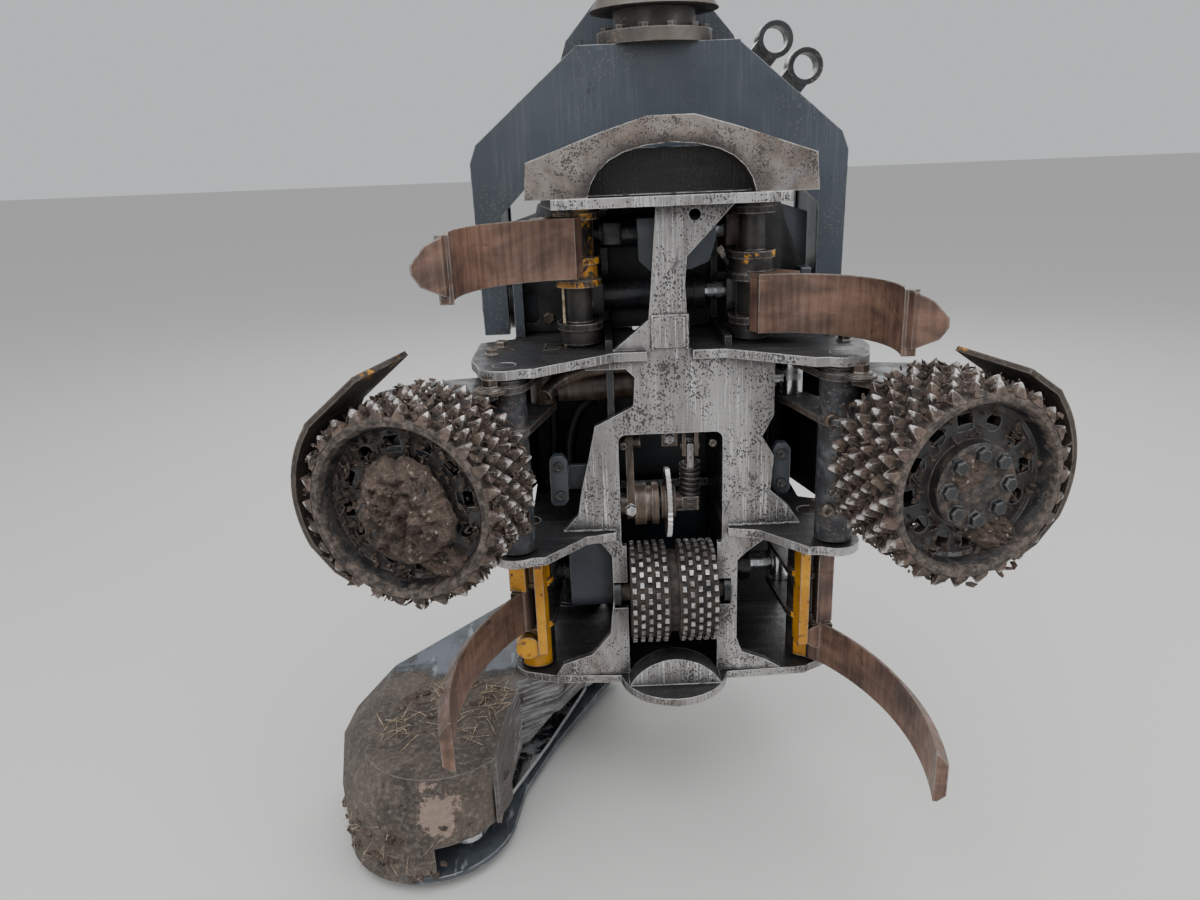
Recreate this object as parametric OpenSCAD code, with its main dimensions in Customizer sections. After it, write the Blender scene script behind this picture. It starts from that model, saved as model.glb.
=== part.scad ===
// Single-grip harvester head with its rotator and tilt frame.
// It hangs upright, as for felling: top knife above, saw box below, log side towards -Y.
// The origin is the middle of the hanger bore. X is across, Y points to the back, Z is up.
// Lengths are millimetres.

/* [Rotator] */
// Radius of the bore that takes the crane's hanger pin
hanger_bore_r = 25; // [20:1:32]
// Clear gap between the two hanger ears
ear_gap = 74; // [60:1:90]
// Thickness of one hanger ear
ear_t = 25; // [18:1:30]
// Radius of the rotator's drum
rotator_r = 118; // [105:1:125]
// Depth of the rotor flange below the hanger bore
flange_drop = 330; // [315:1:345]

/* [Tilt frame] */
// Half width of the tilt frame across its legs
tilt_half_w = 388; // [384:1:400]
// Depth of the tilt pins below the hanger bore
tilt_pin_drop = 845; // [840:1:850]
// Thickness of the tilt frame's front and back plates
tilt_plate_t = 18; // [14:1:22]
// Largest angle that the head tips forward
tilt_range = 95; // [60:5:95]

/* [Frame] */
// Thickness of the face plate that the log runs on
face_t = 14; // [10:1:18]
// Thickness of the top plate, the shelves and the bottom plate
shelf_t = 18; // [14:1:20]
// Half width of the face plate's measuring window
window_half_w = 107; // [100:1:110]

/* [Front knives] */
// Distance of each front knife's pin from the middle
front_pin_x = 175; // [170:1:182]
// Radius of the front knife pins
front_pin_r = 26; // [22:1:30]
// Height of a front knife's blade
front_blade_h = 116; // [100:1:116]
// Thickness of a knife blade
blade_t = 22; // [16:1:24]

/* [Feed arms] */
// Distance of each feed arm's pin from the middle
arm_pin_x = 320; // [316:1:324]
// Radius of the feed arm pins
arm_pin_r = 22; // [18:1:26]
// Distance of each feed roller's centre from the middle
roller_x = 460; // [455:1:470]
// Radius of a feed roller at the spike tips
roller_tip_r = 185; // [175:1:185]
// Width of a feed roller along its axle
roller_w = 190; // [170:2:190]
// Number of spikes in one ring of a roller
spike_count = 26; // [18:1:30]
// Turn of the roller's face away from straight ahead, in degrees
roller_turn = 15; // [10:1:20]

/* [Rear knives] */
// Distance of each rear knife's pin from the middle
rear_pin_x = 305; // [300:1:310]
// Radius of the rear knife pins
rear_pin_r = 24; // [20:1:26]
// Height of a rear knife's blade
rear_blade_h = 98; // [80:1:98]

/* [Saw] */
// Length of the saw bar from its turning pin to its nose
bar_l = 640; // [560:10:640]
// Thickness of the saw bar
bar_t = 8; // [6:1:10]
// Depth of the saw box below its roof
box_h = 245; // [200:5:260]

/* [Hidden] */
$fn = 48;
// Running gap between a pin and its hole
run = 0.05;
// Seating gap between pieces that touch
seat = 0.3;

// Heights of the main levels
flange_z = -flange_drop;
tilt_z = -tilt_pin_drop;
top_z = -606;
upper_z = -905;
lower_z = -1290;
bottom_z = -1640;
roof_z = bottom_z - shelf_t;
box_floor_z = roof_z - box_h;
bar_z = box_floor_z + 44;

// Places along Y
face_y = -270;
web_x = 112;
web_t = 14;
web_back_y = 60;

// Places of the vertical pins
front_pin_y = -190;
arm_pin_y = -350;
rear_pin_y = -200;
saw_pin = [-230, 75];

// Axle of the fixed roller
fixed_y = -252;
fixed_z = -1445;

// Levers and cylinders of the three closing linkages
front_lever_r = 95;
front_lever_a = -8;
front_cyl_z = [-690, -820];
front_gap = 72;
arm_lever_r = 175.6;
arm_lever_a = -20;
arm_cyl_z = -990;
arm_gap = 74;
rear_lever_r = 150;
rear_lever_a = -12;
rear_cyl_z = -1480;
rear_gap = 88;
// Thickness of the levers' fork plates
fork_t = 14;

// Feed roller: centre, and the turned frame that it is drawn in
roller_y = -545;
roller_z = -1080;
drum_r = roller_tip_r - 22;

// Tilt cylinder's pins, measured from the tilt pin
tilt_anchor = [60, tilt_z + 375];
tilt_foot = [41.3, tilt_z - 144.2];

// Colours as the photograph shows them
frame_blue = [0.22, 0.26, 0.32];
bare_steel = [0.55, 0.54, 0.52];
knife_brown = [0.36, 0.25, 0.20];
oily_black = [0.10, 0.10, 0.11];
cast_brown = [0.30, 0.27, 0.25];
rod_chrome = [0.75, 0.76, 0.78];

function arc(c, r, a0, a1, n = 12) =
    [for (i = [0:n]) c + r * [cos(a0 + (a1 - a0) * i / n), sin(a0 + (a1 - a0) * i / n)]];
// Points of the right half followed by their mirror images
function both(pts) = concat(pts, [for (i = [len(pts) - 1:-1:0]) [-pts[i][0], pts[i][1]]]);

// A flat plate whose top is at z, outline in X and Y
module slab(z, t, pts) {
    translate([0, 0, z - t]) linear_extrude(t) polygon(pts);
}
// An upright plate from y back to y + t, outline in X and Z
module wall_y(y, t, pts) {
    translate([0, y + t, 0]) rotate([90, 0, 0]) linear_extrude(t) polygon(pts);
}
// An upright plate from x to x + t, outline in Y and Z
module wall_x(x, t, pts) {
    translate([x, 0, 0]) rotate([90, 0, 90]) linear_extrude(t) polygon(pts);
}
// Upright and lying cylinders between two stations
module post(p, r, z0, z1) {
    translate([p[0], p[1], min(z0, z1)]) cylinder(r = r, h = abs(z1 - z0));
}
module shaft_x(y, z, r, x0, x1) {
    translate([min(x0, x1), y, z]) rotate([0, 90, 0]) cylinder(r = r, h = abs(x1 - x0));
}
module box_at(p0, p1) {
    translate([min(p0[0], p1[0]), min(p0[1], p1[1]), min(p0[2], p1[2])])
        cube([abs(p1[0] - p0[0]), abs(p1[1] - p0[1]), abs(p1[2] - p0[2])]);
}
// Draws its children for the left side, or mirrored for the right
module on_side(s) {
    if (s < 0) children();
    else mirror([1, 0, 0]) children();
}
// The frame of a feed roller: +Z runs out of its face, +X points away from the head
module roller_frame() {
    translate([-roller_x, roller_y, roller_z]) rotate([0, 0, -roller_turn]) rotate([90, 0, 0])
        mirror([1, 0, 0]) children();
}

// Rotator

module rotator_housing() {
    ear_x = ear_gap / 2;
    color(cast_brown) {
        difference() {
            union() {
                for (s = [-1, 1]) {
                    x0 = s < 0 ? -ear_x - ear_t : ear_x;
                    shaft_x(0, 0, 58, x0, x0 + ear_t);
                    box_at([x0, -58, 0], [x0 + ear_t, 58, -90]);
                }
                post([0, 0], 104, -80, -112);
                post([0, 0], rotator_r, -112, -242);
                translate([0, 0, -264]) cylinder(r1 = rotator_r + 14, r2 = rotator_r, h = 22);
                // Four oil ports around the cap
                for (a = [45:90:315]) rotate([0, 0, a]) translate([90, 0, -97])
                    rotate([0, 90, 0]) cylinder(r = 13, h = 40);
            }
            shaft_x(0, 0, hanger_bore_r, -ear_x - ear_t - 1, ear_x + ear_t + 1);
        }
    }
}

module rotor_flange() {
    color(cast_brown) {
        post([0, 0], 84, -264 - seat, flange_z + 26);
        post([0, 0], rotator_r, flange_z, flange_z + 26);
        for (a = [15:30:345]) rotate([0, 0, a]) translate([102, 0, flange_z + 26])
            cylinder(r = 11, h = 9, $fn = 6);
    }
}

// Tilt frame

function tilt_outline(w, drop, inner) = both(concat([
    [160, flange_z - 2],
    [w - 14, -509],
    [w, -545],
    [w - 4, tilt_z - drop],
    [330, tilt_z - drop]], inner));

module tilt_frame() {
    y0 = -84;
    y1 = 154;
    color(frame_blue) difference() {
        union() {
            // The front plate closes the arch, the back plate leaves it open
            wall_y(y0, tilt_plate_t, tilt_outline(tilt_half_w, 55, [[330, -650], [262, -582]]));
            wall_y(y1 - tilt_plate_t, tilt_plate_t,
                tilt_outline(tilt_half_w - 8, 20, [[330, -560], [230, -480]]));
            // Guard plate behind the rotator
            wall_y(y1 - 12, 12, both([[110, -215], [185, -300], [200, -345], [200, -430]]));
            // Roof: flat under the rotor flange, then sloping to the shoulders
            box_at([-165, y0, flange_z], [165, 154, flange_z - 18]);
            for (s = [-1, 1]) on_side(s) {
                wall_y(y0, y1 - y0, [[-160, flange_z], [-160, -348], [-366, -520], [-374, -509]]);
                // Leg with its pivot boss
                wall_x(-353, 18, concat([[y0, -500], [y0, tilt_z]],
                    arc([0, tilt_z], 60, 180, 360), [[y1, tilt_z + 60], [y1, -500]]));
                shaft_x(0, tilt_z, 52, -388, -353);
            }
            // Lugs for the tilt cylinder
            for (x = [-46, 32]) {
                wall_x(x, 14, concat([[10, -340]], [[24, tilt_anchor[1]]],
                    arc(tilt_anchor, 36, 180, 360), [[110, -340]]));
            }
            shaft_x(tilt_anchor[0], tilt_anchor[1], 20, -52, 52);
        }
        for (s = [-1, 1]) on_side(s)
            shaft_x(0, tilt_z, 32 + run, -400, -330);
    }
}

module hose_guides() {
    color(oily_black) {
        // Two clamp rings stand on the right shoulder's slope
        for (along = [64, 146]) translate([160, 0, flange_z]) rotate([0, 39.9, 0])
            translate([along, 0, seat]) difference() {
                union() {
                    translate([0, 24, 56]) rotate([90, 0, 0]) cylinder(r = 36, h = 48);
                    box_at([-26, -22, 0], [26, 22, 36]);
                }
                translate([0, 30, 56]) rotate([90, 0, 0]) cylinder(r = 25, h = 60);
            }
    }
}

// Tilt cylinder, drawn upright between its two pins

tilt_l = norm(tilt_anchor - tilt_foot);
tilt_lean = atan2(tilt_anchor[0] - tilt_foot[0], tilt_anchor[1] - tilt_foot[1]);
module tilt_line() {
    translate([0, tilt_anchor[0], tilt_anchor[1]]) rotate([-tilt_lean, 0, 0]) children();
}

module tilt_cylinder_barrel() {
    color(oily_black) tilt_line() difference() {
        union() {
            shaft_x(0, 0, 34, -30, 30);
            post([0, 0], 26, -20, -60);
            post([0, 0], 44, -46, -278);
            post([0, 0], 49, -258, -282);
        }
        shaft_x(0, 0, 20 + run, -40, 40);
        post([0, 0], 22 + run, -44, -300);
    }
}

module tilt_cylinder_rod() {
    color(rod_chrome) tilt_line() {
        post([0, 0], 22, -224, -tilt_l + 20);
        translate([0, 0, -tilt_l]) shaft_x(0, 0, 32, -26, 26);
    }
}

// Main frame

module face_plate() {
    w = window_half_w;
    color(bare_steel) difference() {
        wall_y(face_y, face_t, [
            // Centre bar and its two gussets
            [-22, top_z - shelf_t], [130, top_z - shelf_t], [126, -632], [36, -726], [32, -780],
            [40, upper_z], [211, upper_z],
            // Right edge of the middle field
            [211, -1049], [188, -1095], [213, -1137], [207, -1213], [246, -1250], [272, lower_z],
            [272, lower_z - shelf_t], [200, lower_z - shelf_t - 14], [160, -1352],
            // Right leg
            [140, -1372], [140, -1560], [152, -1596], [205, -1618], [240, bottom_z],
            [97, bottom_z], [97, -1327], [-97, -1327], [-97, bottom_z],
            // Left leg
            [-262, bottom_z], [-245, -1612], [-180, -1590], [-138, -1540], [-128, -1455],
            [-128, -1350], [-150, lower_z - shelf_t - 12], [-229, lower_z - shelf_t],
            [-229, lower_z], [-196, -1252], [-186, -1196], [-167, -1119],
            // Left window bites in towards the middle
            [-154, -1060], [-74, -1020], [-70, -960], [-88, -942], [-200, -942],
            [-211, upper_z], [-112, upper_z], [-40, -845], [-34, -780]
        ]);
        // Measuring window with rounded corners
        wall_y(face_y - 1, face_t + 2, concat(
            arc([w - 16, -1096], 16, 0, 90, 6), arc([16 - w, -1096], 16, 90, 180, 6),
            [[-w, -1328], [w, -1328]]));
        // The shelves' edges run through the plate on both sides of its middle
        for (s = [-1, 1]) {
            box_at([s * 45, face_y - 1, upper_z], [s * 300, 0, upper_z - shelf_t]);
            box_at([s * 118, face_y - 1, lower_z], [s * 300, 0, lower_z - shelf_t]);
        }
        // Notches around the fixed roller's bearings
        for (s = [-1, 1]) box_at([s * 90, face_y - 1, fixed_z + 31],
            [s * (web_x + web_t + 1), face_y + face_t + 1, fixed_z - 31]);
        translate([52, face_y - 1, -648]) rotate([-90, 0, 0]) cylinder(r = 11, h = face_t + 2);
    }
}

module top_plate() {
    color(bare_steel) difference() {
        union() {
            slab(top_z, shelf_t, both([[215, -372], [240, -230], [240, 40]]));
            // Dark back of the top knife's recess
            wall_y(-312, 12, both([[150, top_z], [150, -560], [96, -524]]));
        }
        for (s = [-1, 1])
            post([s * front_pin_x, front_pin_y], front_pin_r + run, top_z + 1, top_z - shelf_t - 1);
        // Room for the tilt cylinder
        box_at([-58, -5, top_z + 1], [58, 41, top_z - shelf_t - 1]);
    }
}

// Outline of one wing of a shelf, right side, from the middle of its front edge to its back
function shelf_wing(a, extra) = concat(
    [[110, -286], [205, -350], [262, a[1] - 40]],
    arc(a, 52, 232, 360, 10),
    [[389, -300], [389, -140], [318, -110], [318, web_back_y]], extra);

module upper_shelf() {
    color(bare_steel) difference() {
        slab(upper_z, shelf_t, both(shelf_wing([arm_pin_x, arm_pin_y], [])));
        for (s = [-1, 1]) {
            post([s * arm_pin_x, arm_pin_y], arm_pin_r + run, upper_z + 1, upper_z - shelf_t - 1);
            post([s * front_pin_x, front_pin_y], front_pin_r + run, upper_z + 1, upper_z - shelf_t - 1);
        }
        // The face plate's middle runs through
        box_at([-45, -300, upper_z + 1], [45, face_y + face_t, upper_z - shelf_t - 1]);
        // Passage for the tilt cylinder
        box_at([-62, -60, upper_z + 1], [62, web_back_y + 1, upper_z - shelf_t - 1]);
    }
}

module lower_shelf() {
    color(bare_steel) difference() {
        slab(lower_z, shelf_t, both(concat(
            [[118, face_y + face_t], [118, -284], [180, -300], [262, arm_pin_y - 40]],
            arc([arm_pin_x, arm_pin_y], 52, 232, 360, 10),
            [[366, -200], [340, -140], [300, -120], [300, web_back_y]])));
        for (s = [-1, 1]) {
            post([s * arm_pin_x, arm_pin_y], arm_pin_r + run, lower_z + 1, lower_z - shelf_t - 1);
            post([s * rear_pin_x, rear_pin_y], rear_pin_r + run, lower_z + 1, lower_z - shelf_t - 1);
        }
        box_at([-web_x, -280, lower_z + 1], [web_x, 20, lower_z - shelf_t - 1]);
    }
}

module bottom_plate() {
    color(bare_steel) difference() {
        union() {
            slab(bottom_z, shelf_t, concat(
                [[-330, 160], [-330, -120], [-360, -190]],
                arc([-rear_pin_x, rear_pin_y], 54, 190, 250, 6),
                [[-262, face_y]], arc([0, -258], 120, 190, 350, 12), [[292, face_y]],
                arc([rear_pin_x, rear_pin_y], 54, 290, 360, 6),
                [[330, -100], [300, 60], [120, 110], [-120, 160]]));
            // Round hump in front of the saw housing
            wall_y(-322, 50, concat(arc([0, bottom_z - 50], 112, 26.5, 153.5, 16),
                [[-100, bottom_z - 9], [100, bottom_z - 9]]));
        }
        for (s = [-1, 1])
            post([s * rear_pin_x, rear_pin_y], rear_pin_r + run, bottom_z + 1, roof_z - 1);
        post(saw_pin, 30, bottom_z + 1, roof_z - 1);
    }
}

module side_webs() {
    color(oily_black) for (s = [-1, 1]) on_side(s) difference() {
        union() {
            wall_x(-web_x - web_t, web_t, [[face_y + face_t, top_z - shelf_t],
                [face_y + face_t, bottom_z], [web_back_y, bottom_z], [web_back_y, -800],
                [20, top_z - shelf_t]]);
            shaft_x(fixed_y, fixed_z, 30, -web_x - web_t, -web_x);
        }
        // Shelf slots
        box_at([-140, face_y, upper_z], [-100, 70, upper_z - shelf_t]);
        box_at([-140, face_y, lower_z], [-100, 70, lower_z - shelf_t]);
        // Windows for the front, arm and rear cylinders; the front one is open towards the log
        box_at([-140, face_y, front_cyl_z[0] + 56], [-100, -34, front_cyl_z[1] - 66]);
        box_at([-140, -252, arm_cyl_z + 50], [-100, -130, arm_cyl_z - 50]);
        box_at([-140, -150, rear_cyl_z + 62], [-100, 2, rear_cyl_z - 62]);
        // Bearing of the fixed roller
        shaft_x(fixed_y, fixed_z, 20 + run, -140, -100);
    }
}

module pivot_cheeks() {
    color(frame_blue) for (s = [-1, 1]) on_side(s) {
        wall_x(-316, 20, concat([[-100, -780], [-100, upper_z]], [[web_back_y, upper_z],
            [web_back_y, -780]]));
        shaft_x(0, tilt_z, 56, -330, -316);
        shaft_x(0, tilt_z, 32, -392, -316);
        // Cross plate that ties the cheek to the web beside it
        box_at([-300, -50, -790], [-web_x - web_t, 18, -804]);
    }
}

module back_plate() {
    color(frame_blue) {
        wall_y(web_back_y, 14, [[150, -1066], [150, -1400], [230, -1460],
            [230, bottom_z], [-146, bottom_z], [-150, -1400], [-150, -1066]]);
        // Foot lugs of the tilt cylinder, with the heads of its pin
        for (s = [-1, 1]) on_side(s) {
            wall_x(-46, 14, concat([[web_back_y + 1, -1120], [8, -1070]],
                arc(tilt_foot, 34, 180, 0, 10), [[web_back_y + 14, -1066]]));
            shaft_x(tilt_foot[0], tilt_foot[1], 24, -54, -46);
        }
    }
}

module bay_covers() {
    t = 12;
    low = [lower_z - shelf_t, bottom_z];
    color(oily_black) for (s = [-1, 1]) on_side(s) {
        // Behind the front knife
        wall_y(18, t, [[-126, top_z - shelf_t], [-236, top_z - shelf_t], [-236, -760], [-296, -790],
            [-296, upper_z], [-126, upper_z]]);
        // Behind the feed arm
        wall_y(web_back_y - t, t, [[-126, upper_z - shelf_t], [-300, upper_z - shelf_t],
            [-300, lower_z], [-126, lower_z]]);
        // Behind the rear knife, short where the saw motor stands
        wall_y(web_back_y - t, t, [[-126, low[0]], [-300, low[0]],
            [-300, s < 0 ? low[1] + 120 : low[1]], [-126, s < 0 ? low[1] + 120 : low[1]]]);
        // Strip beside the tilt cylinder
        wall_y(web_back_y, t, [[-66, -1066], [-66, -800], [-126, -800], [-126, -1066]]);
    }
    // Rounded cover in front of the rear cylinder, on the saw box's side
    color(frame_blue) wall_x(-222, 222 - web_x - web_t, concat([[-154, low[0]], [-212, low[0]]],
        arc([-168, rear_cyl_z + 10], 44, 180, 270, 8), [[-154, rear_cyl_z - 34]]));
}

module top_knife() {
    // Half of the arch, and half of the straight-sided back
    arch = [[150, top_z], [142, -581], [130, -562], [110, -544], [84, -531], [46, -521], [0, -517]];
    back = [[41, -472], [119, -495], [256, -542], [261, top_z]];
    color(knife_brown) difference() {
        wall_y(-372, 56, concat(
            [for (i = [3:-1:0]) [-back[i][0], back[i][1]]], back,
            arch, [for (i = [5:-1:0]) [-arch[i][0], arch[i][1]]]));
        // The upper front edge is ground to a bevel
        translate([0, -372, -440]) rotate([45, 0, 0]) cube([700, 40, 40], center = true);
    }
}

module valve_block() {
    color(oily_black) {
        box_at([-105, 74 + seat, -1070], [105, 190, -1300]);
        for (i = [0:3]) box_at([-90 + i * 48, 190, -1100], [-56 + i * 48, 214, -1270]);
        for (i = [0:4]) translate([-84 + i * 42, 130, -1070]) cylinder(r = 14, h = 26);
    }
}

module oil_tank() {
    color(frame_blue) {
        difference() {
            box_at([132, 74 + seat, -1440], [262, 176, -1632]);
            box_at([140, 74 + seat + 8, -1448], [254, 168, -1624]);
        }
        translate([200, 126, -1440]) cylinder(r = 30, h = 22);
    }
}

module saw_motor() {
    color(oily_black) {
        post(saw_pin, 74, bottom_z + 26, bottom_z + seat);
        // Drive shaft that the bar turns about
        post(saw_pin, 22, bottom_z + 26, bar_z - 14);
        post(saw_pin, 58, bottom_z + 26, bottom_z + 112);
        translate([saw_pin[0], saw_pin[1] + 40, bottom_z + 70]) rotate([-90, 0, 0])
            cylinder(r = 18, h = 44);
    }
}

// Saw box: outline of its floor and walls, and of its roof, drawn in by i
function box_low(i) = concat(
    arc([-535, -410], 180 - i, -12, -163, 18),
    [[-748 + i, -290], [-742 + i, -190], [-440, 102 - i], [-370, 160 - i], [-120, 160 - i]]);
function box_high(i) = concat(
    arc([-500, -425], 158 - i, -12, -155, 14),
    [[-652 + i, -300], [-646 + i, -170], [-420, 108 - i], [-370, 160 - i], [-120, 160 - i]]);
// Solid cap between the walls' top and the roof
module box_cap(i, z_low, z_high) {
    hull() {
        translate([0, 0, z_low]) linear_extrude(0.1) polygon(concat(box_low(i), [[-120, -140]]));
        translate([0, 0, z_high - 0.1]) linear_extrude(0.1)
            polygon(concat(box_high(i), [[-120, -140]]));
    }
}

// Line of the wall towards the log, and the same line one wall thickness further in
box_lip = [[-376, -520], [-371, -418], [-351, -259], [-307, -235], [-264, -212], [-217, -135],
    [-163, -55], [-119, -8]];
box_lip_in = [[-125, -2], [-171, -51], [-225, -129], [-270, -204], [-310, -226], [-360, -252],
    [-380, -418], [-385, -520]];

module saw_box() {
    wall_t = 10;
    side_z = roof_z - 95;
    slot_z = box_floor_z + 83;
    roof_top = roof_z - seat;
    nose = [-535, -410];
    color(cast_brown) difference() {
        union() {
            // Floor, with its cutting side open
            slab(box_floor_z + 12, 12, concat(box_low(0), [[-120, 130], [-171, 43], [-278, -170],
                [-341, -330]]));
            // Walls along the outer side, the nose and the back
            translate([0, 0, box_floor_z + 11]) linear_extrude(side_z - box_floor_z - 11)
                difference() {
                    polygon(concat(box_low(0), [[-120, 120], [-355, 120]]));
                    polygon(concat([[-300, -410]], box_low(wall_t), [[-119, 100], [-300, 100]]));
                }
            difference() {
                box_cap(0, side_z, roof_top);
                box_cap(wall_t, side_z - 1, roof_top - 12);
                box_at([-300, -140, side_z - 1], [-60, 148, roof_top - 12]);
                // The log's side is cut away down to the wall's line
                translate([0, 0, side_z - 2]) linear_extrude(120)
                    polygon(concat(box_lip, [[-40, -8], [-40, -620], [-376, -620]]));
            }
            // Curved wall towards the log; its lower edge drops towards the nose
            difference() {
                translate([0, 0, slot_z - 12]) linear_extrude(roof_top - slot_z + 12)
                    polygon(concat(box_lip, box_lip_in));
                wall_y(-600, 620, [[-90, slot_z + 70], [-163, slot_z + 63], [-217, slot_z + 52],
                    [-278, slot_z + 48], [-340, slot_z - 8], [-400, slot_z - 8],
                    [-400, slot_z - 30], [-90, slot_z - 30]]);
            }
        }
        // Slot round the nose that the bar swings out through
        translate([0, 0, box_floor_z + 12]) linear_extrude(slot_z - box_floor_z - 12)
            polygon(concat([nose], arc(nose, 240, -80, 4, 8)));
        post(saw_pin, 30, roof_z + 5, roof_z - 40);
    }
}

module saw_bar() {
    dir = atan2(-605, -240);
    color(rod_chrome) translate([saw_pin[0], saw_pin[1], bar_z]) rotate([0, 0, dir]) difference() {
        union() {
            linear_extrude(bar_t) polygon(concat([[-40, -34], [60, -40], [300, -41]],
                arc([bar_l - 32, 0], 30, -80, 80, 10), [[300, 41], [60, 40], [-40, 34]]));
            translate([0, 0, bar_t]) cylinder(r = 56, h = 18);
            translate([0, 0, -12]) cylinder(r = 50, h = 12);
            // Chain around the bar
            translate([0, 0, -2]) linear_extrude(bar_t + 4) difference() {
                polygon(concat([[60, -50], [300, -51]], arc([bar_l - 32, 0], 40, -80, 80, 10),
                    [[300, 51], [60, 50]]));
                polygon(concat([[58, -39.5], [300, -40.5]], arc([bar_l - 32, 0], 29, -80, 80, 10),
                    [[300, 40.5], [58, 39.5]]));
            }
        }
        translate([0, 0, -20]) cylinder(r = 22 + run, h = 60);
    }
}

// Knives. Left pieces are drawn, right ones are mirrored.

// Each blade is an arc that starts at its root, so its centre follows from its radius
front_arc = [84, 195];
front_arc_r = 190;
front_arc_c = [-176, -266] - front_arc_r * [cos(front_arc[0]), sin(front_arc[0])];
rear_arc = [142, 194];
rear_arc_r = 553;
rear_arc_c = [-314.8, -248.5] - rear_arc_r * [cos(rear_arc[0]), sin(rear_arc[0])];

// A blade bent to an arc, with both long edges ground on the outside
module blade(c, r, a, z_top, h) {
    translate([c[0], c[1], z_top]) rotate([0, 0, a[0]]) rotate_extrude(angle = a[1] - a[0], $fn = 96)
        polygon([[r, -h], [r, 0], [r + 5, 0], [r + blade_t, -20], [r + blade_t, 14 - h],
            [r + 8, -h]]);
}

// Fork plates of a lever around a cylinder's eye, with the eye's pin
module lever(pin, eye, r0, r1, zc, gap) {
    d = eye - pin;
    a = atan2(d[1], d[0]);
    for (z = [zc + gap / 2 + fork_t, zc - gap / 2]) slab(z, fork_t, concat(
        arc(pin, r0, a + 90, a + 270, 10), arc(eye, r1, a - 90, a + 90, 8)));
}
// The eye's pin through the fork, or the heads of a pin that belongs to the eye
module fork_pin(eye, zc, gap, whole) {
    z0 = gap / 2 + fork_t;
    if (whole) post(eye, eye_pin_r, zc + z0, zc - z0);
    else for (z = [zc + z0, zc - z0 - 8]) post(eye, 20, z, z + 8);
}
function eye_at(pin, r, a) = [-pin[0], pin[1]] + r * [-sin(a), cos(a)];
front_eye = eye_at([front_pin_x, front_pin_y], front_lever_r, front_lever_a);
arm_eye = eye_at([arm_pin_x, arm_pin_y], arm_lever_r, arm_lever_a);
rear_eye = eye_at([rear_pin_x, rear_pin_y], rear_lever_r, rear_lever_a);
eye_r = 26;
eye_pin_r = 14;

module front_knife(z_top, with_pins) {
    pin = [-front_pin_x, front_pin_y];
    color(knife_brown) {
        post(pin, front_pin_r, top_z - 1, upper_z - shelf_t + 1);
        // The hub is thick only above, between and below the cylinders
        gap = front_gap / 2;
        post(pin, 42, top_z - shelf_t - 6, front_cyl_z[0] + gap);
        post(pin, 42, front_cyl_z[0] - gap, front_cyl_z[1] + gap);
        post(pin, 42, front_cyl_z[1] - gap, upper_z + 6);
        blade(front_arc_c, front_arc_r, front_arc, z_top, front_blade_h);
        slab(z_top, front_blade_h, [[-208, -178], [-262, -236], [-236, -264], [-178, -258],
            [-141, -202]]);
        // Tip that flares outwards and is ground to a point
        tip = front_arc_c + front_arc_r * [cos(front_arc[1]), sin(front_arc[1])];
        translate([tip[0], tip[1], z_top]) difference() {
            slab(-0.5, front_blade_h - 1, [[-5, 8], [-16, 6], [-60, -48], [-57, -58], [-9, -22]]);
            wall_y(-80, 76, [[-6, 1], [-12, -3], [-36, -14], [-61, -46], [-90, -46], [-90, 1]]);
            wall_y(-80, 76, [[-3, -104], [-46, -78], [-61, -50], [-90, -50],
                [-90, -front_blade_h - 1], [0, -front_blade_h - 1]]);
        }
        for (zc = front_cyl_z) {
            lever(pin, front_eye, 47, 26, zc, front_gap);
            fork_pin(front_eye, zc, front_gap, with_pins);
        }
    }
}
module front_knife_left() {
    front_knife(-646, true);
}
module front_knife_right() {
    on_side(1) front_knife(-766, false);
}

// A lying cylinder between two eyes that are a given length apart
module barrel(y, zc, l, r, rod_r, eye_h) {
    x0 = -l / 2;
    difference() {
        union() {
            post([x0, y], eye_r, zc - eye_h / 2, zc + eye_h / 2);
            shaft_x(y, zc, r * 0.7, x0 + 10, x0 + 36);
            shaft_x(y, zc, r, x0 + 34, -x0 - 76);
            shaft_x(y, zc, r + 4, -x0 - 96, -x0 - 74);
        }
        post([x0, y], eye_pin_r + run, zc - 60, zc + 60);
        shaft_x(y, zc, rod_r + run, x0 + 50, -x0 - 60);
    }
}
module rod(y, zc, l, rod_r, eye_h) {
    x1 = l / 2;
    shaft_x(y, zc, rod_r, -x1 + 60, x1 - 18);
    post([x1, y], eye_r, zc - eye_h / 2, zc + eye_h / 2);
}

module front_cylinder_barrels() {
    color(oily_black) for (zc = front_cyl_z)
        barrel(front_eye[1], zc, -2 * front_eye[0], 32, 18, front_gap - 2);
}
module front_cylinder_rods() {
    color(rod_chrome) for (zc = front_cyl_z)
        rod(front_eye[1], zc, -2 * front_eye[0], 18, front_gap - 2);
}
module arm_cylinder_barrel() {
    color(oily_black) barrel(arm_eye[1], arm_cyl_z, -2 * arm_eye[0], 35, 20, arm_gap - 2);
}
module arm_cylinder_rod() {
    color(rod_chrome) rod(arm_eye[1], arm_cyl_z, -2 * arm_eye[0], 20, arm_gap - 2);
}
module rear_cylinder_barrel() {
    color(oily_black) barrel(rear_eye[1], rear_cyl_z, -2 * rear_eye[0], 42, 24, rear_gap - 2);
}
module rear_cylinder_rod() {
    color(rod_chrome) rod(rear_eye[1], rear_cyl_z, -2 * rear_eye[0], 24, rear_gap - 2);
}

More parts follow.
